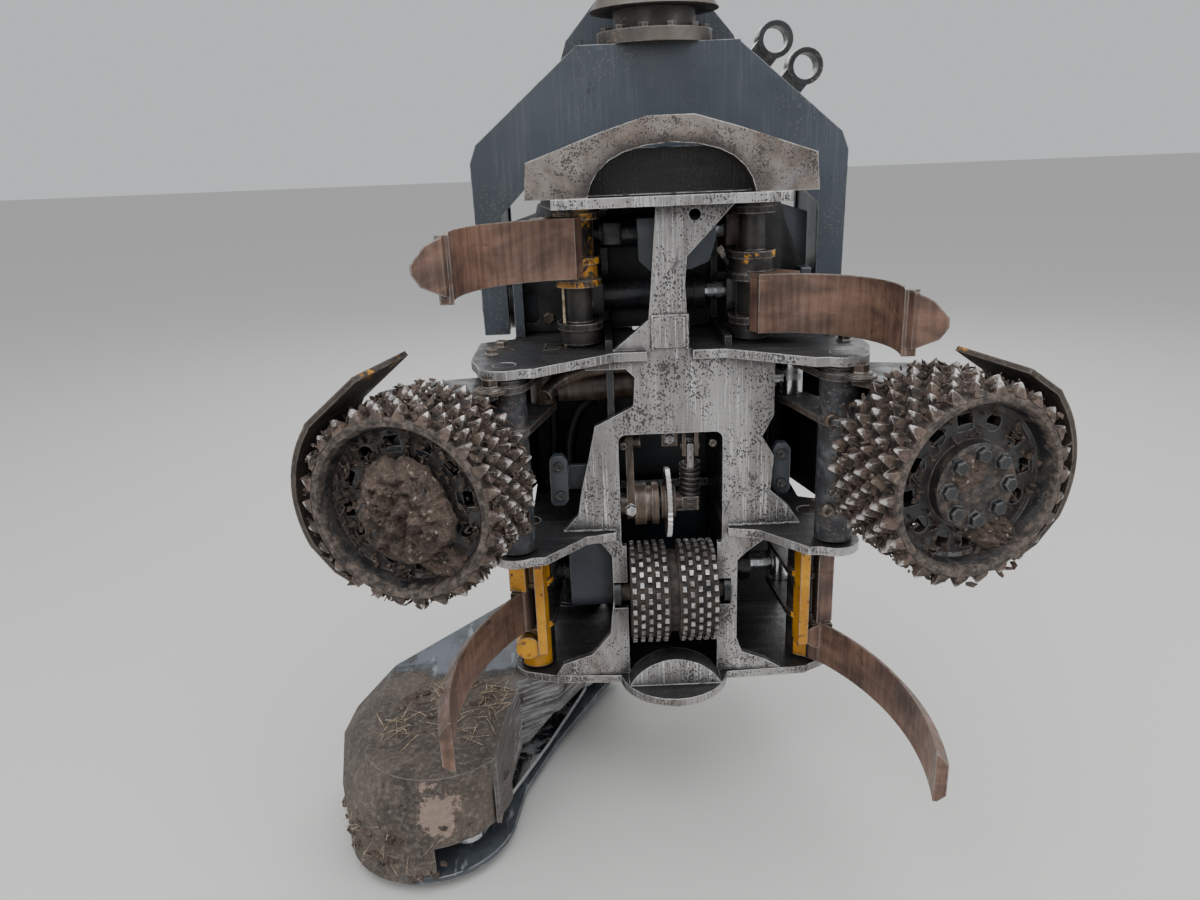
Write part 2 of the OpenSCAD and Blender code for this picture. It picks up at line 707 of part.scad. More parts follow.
module rear_knife(z_top, with_pin) {
    pin = [-rear_pin_x, rear_pin_y];
    color(knife_brown) {
        post(pin, rear_pin_r, lower_z - 1, bottom_z - shelf_t + 1);
        post(pin, 40, lower_z - shelf_t - 6, bottom_z + 6);
        tip = rear_arc_c + rear_arc_r * [cos(rear_arc[1]), sin(rear_arc[1])];
        difference() {
            union() {
                blade(rear_arc_c, rear_arc_r, rear_arc, z_top, rear_blade_h);
                slab(z_top, rear_blade_h, [[-336, -184], [-352, -270], [-322, -262], [-276, -222]]);
            }
            // The tip is cut to a point
            translate([tip[0], tip[1] + 83, z_top - rear_blade_h]) rotate([22, 0, 0])
                translate([-70, -160, -80]) cube([130, 160, 80]);
            translate([tip[0], tip[1] + 33, z_top]) rotate([-35, 0, 0])
                translate([-70, -150, 0]) cube([130, 150, 80]);
        }
        // Ribs that carry the blade on its hub, and a boss under it
        rib_z = lower_z - shelf_t - 10;
        slab(rib_z, rib_z - bottom_z - 54, [[-296, -222], [-299, -268], [-279, -266], [-272, -220]]);
        slab(rib_z, rib_z - z_top + 2, [[-340, -212], [-354, -252], [-318, -264], [-310, -234]]);
        translate([-322, -222, bottom_z + 69]) rotate([90, 0, 0]) cylinder(r = 27, h = 42);
        lever(pin, rear_eye, 46, 28, rear_cyl_z, rear_gap);
        fork_pin(rear_eye, rear_cyl_z, rear_gap, with_pin);
    }
}
module rear_knife_left() {
    rear_knife(-1432, true);
}
module rear_knife_right() {
    on_side(1) rear_knife(-1536, false);
}

// Feed arms and rollers

// Motor plate's place behind the roller's centre
motor_back = roller_w / 2 + 8;
motor_plate_t = 22;

module feed_arm(with_pin) {
    pin = [-arm_pin_x, arm_pin_y];
    color(cast_brown) {
        post(pin, arm_pin_r, upper_z - 1, lower_z - shelf_t + 1);
        post(pin, 38, upper_z - shelf_t - 6, lower_z + 6);
        // Top and bottom webs reach out behind the roller
        for (z = [-944, -1150]) slab(z, 18, concat(
            arc(pin, 38, 250, 380, 8),
            [[-300, -290], [-340, -272], [-500, -306], [-560, -368], [-552, -406], [-430, -438],
             [-380, -448]]));
        // Upright back of the arm
        slab(-962, 188, [[-352, -296], [-350, -312], [-470, -328], [-520, -360], [-538, -350],
            [-478, -310]]);
        lever(pin, arm_eye, 44, 28, arm_cyl_z, arm_gap);
        fork_pin(arm_eye, arm_cyl_z, arm_gap, with_pin);
        // Round motor plate, square to the roller's axle
        roller_frame() translate([0, 0, -motor_back - motor_plate_t]) difference() {
            cylinder(r = 132, h = motor_plate_t);
            translate([0, 0, -1]) cylinder(r = 60, h = motor_plate_t + 2);
        }
    }
}
module feed_arm_left() {
    feed_arm(true);
}
module feed_arm_right() {
    on_side(1) feed_arm(false);
}

// A guard bent round the roller: a straight top that ends at the given corner, then an arc
module roller_guard(corner, elbow) {
    r = roller_tip_r + 24;
    t = 10;
    guard_back = -motor_back - motor_plate_t - 10 - seat;
    color(cast_brown) roller_frame() {
        translate([0, 0, guard_back]) linear_extrude(60 - guard_back) polygon(concat(
            [corner - [6, 8], elbow - [7, 8]], arc([0, 0], r, 36, -25, 14),
            [(r - 8) * [cos(42), -sin(42)], (r - 18) * [cos(56), -sin(56)],
                (r - 8) * [cos(56), -sin(56)], (r + 2) * [cos(42), -sin(42)]],
            arc([0, 0], r + t, -25, 36, 14), [elbow, corner]));
        // Back strap that bolts to the motor plate
        translate([0, 0, guard_back]) linear_extrude(t)
            polygon(concat(arc([0, 0], 100, -18, 34, 10), arc([0, 0], r + t / 2, 34, -18, 14)));
        for (a = [-12, 30]) rotate([0, 0, a]) translate([116, 0, -motor_back - motor_plate_t - 22])
            cylinder(r = 13, h = 12, $fn = 6);
    }
}
module roller_guard_left() {
    roller_guard([72, 220], [174, 136]);
}
// The right guard is lower, because the right front knife swings just above it
module roller_guard_right() {
    on_side(1) roller_guard([104, 186], [168, 143]);
}

module feed_motor() {
    color(oily_black) roller_frame() {
        translate([0, 0, -motor_back + seat]) cylinder(r = 104, h = motor_back + 56 - 2 * seat);
        translate([0, 0, -motor_back - 76]) cylinder(r = 59, h = 80);
    }
}
module feed_motor_left() {
    feed_motor();
}
module feed_motor_right() {
    on_side(1) feed_motor();
}

// Outline of one ring of spikes, turned by half a pitch in every other ring
function spike_ring(turn) = [for (i = [0:2 * spike_count - 1])
    let (r = i % 2 == 0 ? roller_tip_r : drum_r - 2, a = (i + turn) * 180 / spike_count)
    r * [cos(a), sin(a)]];

module feed_roller() {
    half = roller_w / 2;
    rings = 7;
    pitch = roller_w / rings;
    disc_z = 58;
    color(oily_black) roller_frame() difference() {
        union() {
            translate([0, 0, -half]) cylinder(r = drum_r, h = roller_w);
            for (i = [0:rings - 1]) translate([0, 0, -half + i * pitch + 4])
                linear_extrude(pitch - 8) polygon(spike_ring(i % 2));
        }
        // Hollow for the motor at the back, dished face at the front
        translate([0, 0, -half - 1]) cylinder(r = 144, h = half + 57);
        translate([0, 0, disc_z + 14]) cylinder(r1 = 138, r2 = 148, h = half - disc_z - 13);
        // Round and square holes in turn around the face
        for (i = [0:11]) rotate([0, 0, i * 30]) {
            if (i % 3 == 0) translate([94, -14, 50]) cube([28, 28, 40]);
            else translate([108, 0, 50]) cylinder(r = 15, h = 40);
        }
    }
    // Hub cap
    color(oily_black) roller_frame() translate([0, 0, disc_z + 14]) cylinder(r = 76, h = 12);
}
module feed_roller_left() {
    feed_roller();
}
module feed_roller_right() {
    on_side(1) feed_roller();
}

// Fixed roller, measuring arm and wheel

module fixed_roller() {
    studs = 30;
    color(bare_steel) translate([0, fixed_y, fixed_z]) rotate([0, 90, 0]) {
        translate([0, 0, -92]) cylinder(r = 100, h = 82);
        translate([0, 0, 10]) cylinder(r = 100, h = 82);
        translate([0, 0, -12]) cylinder(r = 90, h = 24);
        translate([0, 0, -125]) cylinder(r = 20, h = 250);
        // Serrated rims and rows of square studs
        for (s = [-1, 1]) for (k = [0:4]) translate([0, 0, s * (19 + k * 16.5) - 4]) {
            linear_extrude(8) polygon([for (i = [0:2 * studs - 1], j = [0, 1])
                let (r = i % 2 == 0 ? 110 : 99, a = (i + j * 0.98 + (k % 2)) * 180 / studs)
                r * [cos(a), sin(a)]]);
        }
    }
}

meas_y = -236;
meas_z = -1244;

module measuring_arm() {
    color(oily_black) {
        // Bracket and arm on the left of the window
        box_at([-104, -250, -1072], [104, -180, -1086]);
        wall_x(-92, 16, concat(arc([-214, -1112], 26, 0, 180, 10),
            arc([meas_y, meas_z], 34, 180, 360, 10)));
        shaft_x(-214, -1112, 14, -web_x, -60);
        // Spindle with its stack of discs
        shaft_x(meas_y, meas_z, 46, -76, -52);
        shaft_x(meas_y, meas_z, 38, -52, -40);
        shaft_x(meas_y, meas_z, 46, -40, -26);
        shaft_x(meas_y, meas_z, 16, -40, 26);
        shaft_x(meas_y, meas_z, 24, -106.5, -92);
        // Clevis and spring on the right of the window
        box_at([26, -244, -1086], [34, -206, -1140]);
        box_at([52, -244, -1086], [60, -206, -1140]);
        shaft_x(-225, -1122, 9, 22, 64);
        post([43, -225], 11, -1110, -1160);
        post([43, -225], 17, -1160, -1262);
        box_at([14, -244, -1232], [60, -206, -1262]);
    }
}

module measuring_wheel() {
    teeth = 36;
    color(rod_chrome) translate([0, meas_y, meas_z]) rotate([0, 90, 0]) difference() {
        union() {
            translate([0, 0, -10]) linear_extrude(10) polygon([for (i = [0:2 * teeth - 1])
                let (r = i % 2 == 0 ? 75 : 68, a = i * 180 / teeth) r * [cos(a), sin(a)]]);
            translate([0, 0, -20]) cylinder(r = 34, h = 30);
        }
        translate([0, 0, -30]) cylinder(r = 16 + run, h = 60);
    }
}

rotator_housing();
rotor_flange();
tilt_frame();
hose_guides();
tilt_cylinder_barrel();
tilt_cylinder_rod();
face_plate();
top_plate();
upper_shelf();
lower_shelf();
bottom_plate();
side_webs();
pivot_cheeks();
back_plate();
bay_covers();
top_knife();
valve_block();
oil_tank();
saw_motor();
saw_box();
saw_bar();
front_knife_left();
front_knife_right();
front_cylinder_barrels();
front_cylinder_rods();
feed_arm_left();
feed_arm_right();
roller_guard_left();
roller_guard_right();
feed_motor_left();
feed_motor_right();
feed_roller_left();
feed_roller_right();
arm_cylinder_barrel();
arm_cylinder_rod();
rear_knife_left();
rear_knife_right();
rear_cylinder_barrel();
rear_cylinder_rod();
fixed_roller();
measuring_arm();
measuring_wheel();
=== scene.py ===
import math
import random

import bmesh
import bpy
from mathutils import Matrix, Vector, noise


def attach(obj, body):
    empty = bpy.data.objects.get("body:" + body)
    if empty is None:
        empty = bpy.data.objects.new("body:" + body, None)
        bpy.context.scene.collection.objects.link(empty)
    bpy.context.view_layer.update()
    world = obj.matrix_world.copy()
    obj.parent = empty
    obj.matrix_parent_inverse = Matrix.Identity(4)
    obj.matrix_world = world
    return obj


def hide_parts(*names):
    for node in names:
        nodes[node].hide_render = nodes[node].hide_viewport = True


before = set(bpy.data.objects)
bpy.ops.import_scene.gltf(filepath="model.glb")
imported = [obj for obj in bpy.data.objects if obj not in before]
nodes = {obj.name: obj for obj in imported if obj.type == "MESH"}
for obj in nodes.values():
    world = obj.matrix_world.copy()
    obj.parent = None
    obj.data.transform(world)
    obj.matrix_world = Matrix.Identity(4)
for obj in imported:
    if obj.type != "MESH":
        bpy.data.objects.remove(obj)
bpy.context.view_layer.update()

# Camera and studio
# A pale floor below the hanging head, a broad overcast light from above and in front,
# and the camera a little above the head's middle, tipped down as the photographer held it.

camera_data = bpy.data.cameras.new("camera")
camera_data.sensor_width = 36.0
camera_data.lens = 27.03
camera_data.clip_start = 0.05
camera_data.clip_end = 200.0
camera = bpy.data.objects.new("camera", camera_data)
bpy.context.scene.collection.objects.link(camera)
camera.matrix_world = Matrix.Translation((-0.145, -2.02, -0.514)) @ Matrix.Rotation(math.radians(90 - 18.8), 4,
        "X") @ Matrix.Rotation(math.radians(-2.3), 4, "Z")
bpy.context.scene.camera = camera


def studio_floor(z, half):
    mesh = bpy.data.meshes.new("studio_floor")
    mesh.from_pydata([(-half, -half, z), (half, -half, z), (half, half, z), (-half, half, z)], [], [(0, 1, 2, 3)])
    floor = bpy.data.objects.new("studio_floor", mesh)
    bpy.context.scene.collection.objects.link(floor)
    paint = bpy.data.materials.new("floor_paint")
    paint.use_nodes = True
    surface = paint.node_tree.nodes["Principled BSDF"]
    surface.inputs["Base Color"].default_value = (0.62, 0.61, 0.59, 1)
    surface.inputs["Roughness"].default_value = 0.75
    mesh.materials.append(paint)


def soft_light(name, place, towards, size, watts, colour=(1, 1, 1)):
    data = bpy.data.lights.new(name, "AREA")
    data.shape = "RECTANGLE"
    data.size = size[0]
    data.size_y = size[1]
    data.energy = watts
    data.color = colour
    lamp = bpy.data.objects.new(name, data)
    bpy.context.scene.collection.objects.link(lamp)
    lamp.location = place
    lamp.rotation_mode = "QUATERNION"
    lamp.rotation_quaternion = (Vector(towards) - Vector(place)).to_track_quat("-Z", "Y")


studio_floor(-1.93, 40.0)
soft_light("sky_light", (0, -1.6, 3.2), (0, 0, -0.9), (6, 5), 210, (0.96, 0.98, 1.0))
soft_light("front_light", (-2.6, -4.2, 1.2), (0, 0, -1.0), (3.5, 3), 75)
soft_light("side_light", (3.4, -2.4, 0.6), (0, 0, -1.0), (2.5, 2.5), 45)
soft_light("back_light", (0.6, 3.8, 1.6), (0, 0, -1.0), (4, 3), 90)
sky = bpy.data.worlds.new("studio")
bpy.context.scene.world = sky
sky.use_nodes = True
sky.node_tree.nodes["Background"].inputs["Color"].default_value = (0.80, 0.82, 0.84, 1)
sky.node_tree.nodes["Background"].inputs["Strength"].default_value = 0.75

# Rotator housing
# The grey-brown cast drum that turns the head, weathered by oil and rain, with rounded
# edges and a flared lip. It hangs on the crane's pin by its two ears.


class Bench:
    """Holds the node tree that is being built; the functions below add to it."""
    tree = None


def put(kind, links=None, **settings):
    """One node; links gives each input a socket or a plain value."""
    made = Bench.tree.nodes.new(kind)
    for key, value in settings.items():
        setattr(made, key, value)
    for key, value in (links or {}).items():
        if isinstance(value, bpy.types.NodeSocket):
            Bench.tree.links.new(value, made.inputs[key])
        else:
            made.inputs[key].default_value = value
    return made


def metres():
    return put("ShaderNodeTexCoord").outputs["Object"]


def place_of(scale=(1, 1, 1), turn=(0, 0, 0), centre=None):
    """Object coordinates in metres, stretched or turned; centre moves that point to zero first."""
    here = metres()
    if centre is not None:
        here = put("ShaderNodeMapping", {"Vector": here, "Location": [-c for c in centre]}).outputs[0]
    return put("ShaderNodeMapping", {"Vector": here, "Scale": scale, "Rotation": turn}).outputs[0]


def cloud(place, scale, detail=4.0, rough=0.55, bend=0.0):
    return put("ShaderNodeTexNoise", {"Vector": place, "Scale": scale, "Detail": detail, "Roughness": rough,
                                      "Distortion": bend}).outputs["Fac"]


def cells(place, scale, output="Distance"):
    return put("ShaderNodeTexVoronoi", {"Vector": place, "Scale": scale}).outputs[output]


def span(value, low, high, to_low=0.0, to_high=1.0):
    return put("ShaderNodeMapRange", {"Value": value, "From Min": low, "From Max": high, "To Min": to_low,
                                      "To Max": to_high}, interpolation_type="SMOOTHSTEP").outputs[0]


def sums(how, a, b=0.0, clamp=False):
    return put("ShaderNodeMath", {0: a, 1: b}, operation=how, use_clamp=clamp).outputs[0]


def chain(how):
    """That operation over two or more values, from the first on."""
    def chained(whole, *values):
        for value in values:
            whole = sums(how, whole, value)
        return whole
    return chained


plus, minus, times, most = chain("ADD"), chain("SUBTRACT"), chain("MULTIPLY"), chain("MAXIMUM")


def vector_of(how, a, b, output="Value"):
    return put("ShaderNodeVectorMath", {0: a, 1: b}, operation=how).outputs[output]


def over(share, under, top):
    """Lays the colour top over the colour under where share is one."""
    tones = [tone if isinstance(tone, bpy.types.NodeSocket) else (*tone, 1) for tone in (under, top)]
    return put("ShaderNodeMix", {0: share, 6: tones[0], 7: tones[1]}, data_type="RGBA").outputs[2]


def axes():
    """Object coordinates in metres, one by one."""
    return put("ShaderNodeSeparateXYZ", {"Vector": metres()}).outputs


def along(way, start=0.0):
    """Metres past a flat cut: how far a point lies along way, beyond start."""
    return minus(vector_of("DOT_PRODUCT", metres(), way), start)


def facing(way, low=0.4, high=0.8):
    """One where the surface faces that way on the piece itself."""
    return span(vector_of("DOT_PRODUCT", put("ShaderNodeTexCoord").outputs["Normal"], way), low, high)


def distance(centre, keep=(1, 1, 0)):
    """Metres from a point, or from a line along the axis that keep drops."""
    return put("ShaderNodeVectorMath", {0: place_of(keep, centre=centre)}, operation="LENGTH").outputs["Value"]


def ragged(value, amount, scale=30.0):
    """Moves a value up and down by a cloud, so that its border looks torn."""
    return plus(value, span(cloud(place_of(), scale, 6, 0.7), 0.25, 0.75, -amount, amount))


def effect(name, takes, build):
    """A shader node group with named inputs that gives a mask."""
    tree = Bench.tree = bpy.data.node_groups.new(name, "ShaderNodeTree")
    for label, value in takes.items():
        tree.interface.new_socket(label, in_out="INPUT", socket_type="NodeSocketFloat").default_value = value
    tree.interface.new_socket("Mask", in_out="OUTPUT", socket_type="NodeSocketFloat")
    entry = tree.nodes.new("NodeGroupInput")
    leave = tree.nodes.new("NodeGroupOutput")
    tree.links.new(build(entry.outputs), leave.inputs["Mask"])
    return tree


def mask(group, **values):
    named = {label.capitalize(): value for label, value in values.items()}
    made = put("ShaderNodeGroup", node_tree=group)
    for label, value in named.items():
        made.inputs[label].default_value = value
    return made.outputs["Mask"]


def build_edge_wear(given):
    # An edge shows where the rounded normal leaves the true one; noise breaks the line up
    here = place_of()
    rounded = put("ShaderNodeBevel", {"Radius": given["Width"]}, samples=6).outputs[0]
    true = put("ShaderNodeNewGeometry").outputs["Normal"]
    dot = vector_of("DOT_PRODUCT", rounded, true)
    edge = span(minus(1, dot), 0.004, 0.1)
    breaks = span(cloud(here, 34, 6, 0.65), 0.34, 0.56)
    return sums("MULTIPLY", times(edge, breaks), given["Amount"], True)


def build_corner_dirt_and_shade(given):
    # Painted shade mixed with dirt: darker where the Ambient Occlusion node finds the surface hemmed in, in corners
    # and recesses, plus dirt patches from a cloud
    here = place_of()
    open_air = put("ShaderNodeAmbientOcclusion", {"Distance": given["Reach"]}, samples=8).outputs["AO"]
    patches = cloud(here, 9, 7, 0.65)
    deep = span(minus(plus(minus(1, open_air), times(patches, 0.7)), 0.35), 0.05, 0.55)
    return sums("MULTIPLY", deep, given["Amount"], True)


def build_spatter(given):
    # Dried splashes: small drops inside larger patches
    here = place_of()
    drops = put("ShaderNodeTexVoronoi", {"Vector": here, "Scale": times(given["Size"], 85),
                                         "Randomness": 1.0}).outputs["Distance"]
    fine = cloud(here, 120, 3, 0.6)
    near = span(plus(drops, times(fine, 0.5)), 0.62, 0.42)
    where = span(cloud(here, 4.5, 5, 0.6), 0.44, 0.62)
    return sums("MULTIPLY", times(near, where), given["Amount"], True)


def build_scratches(given):
    # Long thin lines along Z, broken into strokes, as logs draw them
    lines = None
    for tilt, across in ((0.05, 260.0), (-0.11, 150.0), (0.02, 420.0)):
        lengthwise = place_of((across, across, 5), (0, tilt, 0))
        line = span(cloud(lengthwise, 1, 2, 0.5), 0.6, 0.68)
        lines = line if lines is None else most(lines, line)
    where = span(cloud(place_of(), 7, 4, 0.6), 0.36, 0.6)
    return sums("MULTIPLY", times(lines, where), given["Amount"], True)


edge_wear = effect("edge_wear", {"Width": 0.004, "Amount": 1.0}, build_edge_wear)
corner_dirt = effect("corner_dirt", {"Reach": 0.05, "Amount": 1.0}, build_corner_dirt_and_shade)
spatter = effect("spatter", {"Size": 1.0, "Amount": 1.0}, build_spatter)
scratches = effect("scratches", {"Amount": 1.0}, build_scratches)


def coat(colour, rough, height, strength, edge, metal=None):
    """What a finish hands over: its sockets, how deep its bumps go and how round its edges look."""
    sockets = {"Base Color": colour, "Roughness": rough, "Metallic": metal}
    return {label: socket for label, socket in sockets.items() if socket is not None}, (height, strength, edge)


def finish_of(name, build):
    """A material; build gives the sockets for the shader."""
    made = bpy.data.materials.new(name)
    made.use_nodes = True
    tree = Bench.tree = made.node_tree
    surface = tree.nodes["Principled BSDF"]
    sockets, (height, strength, edge) = build()
    rounded = put("ShaderNodeBevel", {"Radius": edge}, samples=4).outputs[0]
    sockets["Normal"] = put("ShaderNodeBump", {"Height": height, "Strength": strength, "Distance": 0.004,
                                               "Normal": rounded}).outputs[0]
    for label, socket in sockets.items():
        tree.links.new(socket, surface.inputs[label])
    return made


def dress(finish, *names):
    for name in names:
        for slot in nodes[name].material_slots:
            slot.material = finish


def cast_iron():
    here = place_of()
    patches = span(cloud(here, 6, 8, 0.65, 0.4), 0.35, 0.68)
    colour = over(patches, (0.05, 0.043, 0.038), (0.135, 0.112, 0.094))
    rust = span(cloud(here, 17, 7, 0.7, 0.6), 0.55, 0.72)
    colour = over(times(rust, 0.6), colour, (0.15, 0.065, 0.028))
    # Corner dirt and painted shade: darker in corners and recesses
    dirt_and_shade = mask(corner_dirt, reach=0.05, amount=0.85)
    colour = over(dirt_and_shade, colour, (0.018, 0.015, 0.013))
    worn = mask(edge_wear, width=0.005, amount=0.7)
    colour = over(worn, colour, (0.3, 0.28, 0.26))
    mud = mask(spatter, size=1, amount=0.8)
    colour = over(mud, colour, (0.17, 0.14, 0.115))
    rough = span(cloud(here, 22, 5, 0.6), 0.3, 0.7, 0.38, 0.75)
    grain = cloud(here, 190, 4, 0.6)
    height = plus(times(grain, 0.35), times(mud, 0.6))
    return coat(colour, rough, height, 0.5, 0.004, times(worn, 0.8))


cast_iron_finish = finish_of("weathered_cast_iron", cast_iron)
dress(cast_iron_finish, "rotator_housing", "rotor_flange")

# Tilt frame
# Two cut plates with sloping shoulders, welded to a folded roof and two legs, in dark
# blue-grey enamel that wood and mud have scuffed.


def blue_enamel():
    here = place_of()
    fade = span(cloud(here, 3.2, 5, 0.55), 0.3, 0.7)
    colour = over(fade, (0.034, 0.042, 0.054), (0.052, 0.063, 0.079))
    film = span(cloud(place_of((1, 1, 0.3)), 7, 7, 0.66, 0.5), 0.5, 0.76)
    colour = over(times(film, 0.3), colour, (0.105, 0.108, 0.108))
    # Short dark marks where bark has struck, and thin pale scuffs
    marks = span(cloud(place_of((150, 150, 42)), 1, 2, 0.5), 0.7, 0.76)
    colour = over(times(marks, span(cloud(here, 5), 0.4, 0.6)), colour, (0.009, 0.009, 0.01))
    scuffs = mask(scratches, amount=0.22)
    colour = over(scuffs, colour, (0.13, 0.145, 0.16))
    # Corner dirt and painted shade: darker in corners and recesses
    dirt_and_shade = mask(corner_dirt, reach=0.05, amount=0.75)
    colour = over(dirt_and_shade, colour, (0.018, 0.017, 0.016))
    worn = mask(edge_wear, width=0.003, amount=1)
    colour = over(worn, colour, (0.36, 0.36, 0.36))
    mud = mask(spatter, size=1.5, amount=0.3)
    colour = over(mud, colour, (0.17, 0.15, 0.13))
    rough = plus(span(cloud(here, 14, 4, 0.6), 0.3, 0.7, 0.34, 0.5), times(most(mud, film), 0.25))
    height = plus(times(cloud(here, 60, 4, 0.6), 0.12), times(mud, 0.5))
    return coat(colour, rough, height, 0.3, 0.003, times(worn, 0.7))


blue_enamel_finish = finish_of("blue_grey_enamel", blue_enamel)
dress(blue_enamel_finish, "tilt_frame", "pivot_cheeks", "back_plate", "oil_tank")

# Hydraulic pieces
# Cylinder barrels, motors, the valve block and the measuring arm: black paint under oil,
# with pale dust that the oil has caught.


def oily_black():
    here = place_of()
    patches = span(cloud(here, 11, 6, 0.6), 0.35, 0.7)
    colour = over(patches, (0.007, 0.008, 0.01), (0.026, 0.027, 0.03))
    dust = span(cloud(here, 26, 7, 0.7, 0.5), 0.54, 0.72)
    colour = over(times(dust, 0.45), colour, (0.075, 0.062, 0.05))
    worn = mask(edge_wear, width=0.003, amount=1)
    colour = over(worn, colour, (0.21, 0.2, 0.19))
    mud = mask(spatter, size=1.2, amount=0.5)
    colour = over(mud, colour, (0.12, 0.098, 0.08))
    rough = plus(span(cloud(here, 30, 4, 0.6), 0.3, 0.7, 0.2, 0.44), times(most(dust, mud), 0.32))
    height = plus(times(cloud(here, 90, 5, 0.6), 0.3), times(mud, 0.5))
    return coat(colour, rough, height, 0.4, 0.003, times(worn, 0.7))


def bay_paint():
    # Black inside the bays; the rounded cover in front of the rear cylinder is enamelled
    here = place_of()
    cover = span(along((0, -1, 0)), 0.13, 0.14)
    colour = over(span(cloud(here, 9, 6, 0.6), 0.35, 0.7), (0.006, 0.0065, 0.008), (0.02, 0.02, 0.022))
    slate = over(span(cloud(here, 5, 5, 0.55), 0.3, 0.7), (0.026, 0.032, 0.042), (0.046, 0.055, 0.07))
    colour = over(cover, colour, slate)
    # Corner dirt and painted shade: darker in corners and recesses
    dirt_and_shade = mask(corner_dirt, reach=0.05, amount=0.8)
    colour = over(dirt_and_shade, colour, (0.013, 0.012, 0.011))
    worn = mask(edge_wear, width=0.003, amount=0.9)
    colour = over(worn, colour, (0.24, 0.24, 0.24))
    rough = plus(span(cloud(here, 20, 4, 0.6), 0.3, 0.7, 0.38, 0.6), times(dirt_and_shade, 0.2))
    return coat(colour, rough, cloud(here, 70, 4, 0.6), 0.25, 0.003, times(worn, 0.7))


def greasy_brown():
    # Old grease on turned steel: dark glossy brown with rubbed pale rings
    here = place_of()
    colour = over(span(cloud(place_of((4, 1, 1)), 9, 6, 0.65, 0.4), 0.32, 0.68), (0.016, 0.012, 0.01),
                  (0.105, 0.07, 0.048))
    pale = span(cloud(place_of((60, 3, 3)), 1, 4, 0.6), 0.56, 0.72)
    colour = over(times(pale, 0.55), colour, (0.28, 0.24, 0.205))
    worn = mask(edge_wear, width=0.004, amount=1)
    colour = over(worn, colour, (0.34, 0.31, 0.28))
    metal = plus(0.15, times(most(worn, pale), 0.6))
    return coat(colour, span(cloud(here, 24, 5, 0.6), 0.3, 0.7, 0.24, 0.46), cloud(here, 80, 4, 0.6), 0.3, 0.003,
                metal)


oily_black_finish = finish_of("oily_black_paint", oily_black)
bay_finish = finish_of("bay_paint", bay_paint)
greasy_brown_finish = finish_of("greasy_brown_steel", greasy_brown)
dress(oily_black_finish, "hose_guides", "tilt_cylinder_barrel", "valve_block", "saw_motor", "side_webs",
      "front_cylinder_barrels", "rear_cylinder_barrel", "feed_motor_left", "feed_motor_right")
dress(bay_finish, "bay_covers")
dress(greasy_brown_finish, "arm_cylinder_barrel", "measuring_arm")


def chromed_steel():
    here = place_of()
    film = span(cloud(here, 18, 6, 0.65, 0.4), 0.45, 0.7)
    colour = over(times(film, 0.6), (0.55, 0.56, 0.58), (0.075, 0.062, 0.05))
    rough = plus(0.16, times(film, 0.35))
    height = cloud(here, 220, 3, 0.5)
    return coat(colour, rough, height, 0.08, 0.0015, span(film, 0, 1, 1, 0.35))


chromed_steel_finish = finish_of("chromed_steel", chromed_steel)
dress(chromed_steel_finish, "tilt_cylinder_rod", "front_cylinder_rods", "arm_cylinder_rod", "rear_cylinder_rod",
      "saw_bar")


def wheel_steel():
    # Only the toothed rim that rolls on the log is bright
    values, bumps = greasy_brown()
    rim = span(distance((0, -0.236, -1.244), (0, 1, 1)), 0.064, 0.067)
    values["Base Color"] = over(rim, values["Base Color"], (0.6, 0.585, 0.57))
    values["Metallic"] = times(rim, 0.85)
    values["Roughness"] = span(rim, 0, 1, 0.5, 0.3)
    return values, bumps


dress(finish_of("wheel_steel", wheel_steel), "measuring_wheel")

# Main frame
# Thick plates that the log rubs bare: vertical scratches over dull steel, black specks of
# resin and oil, a brown stain here and there.


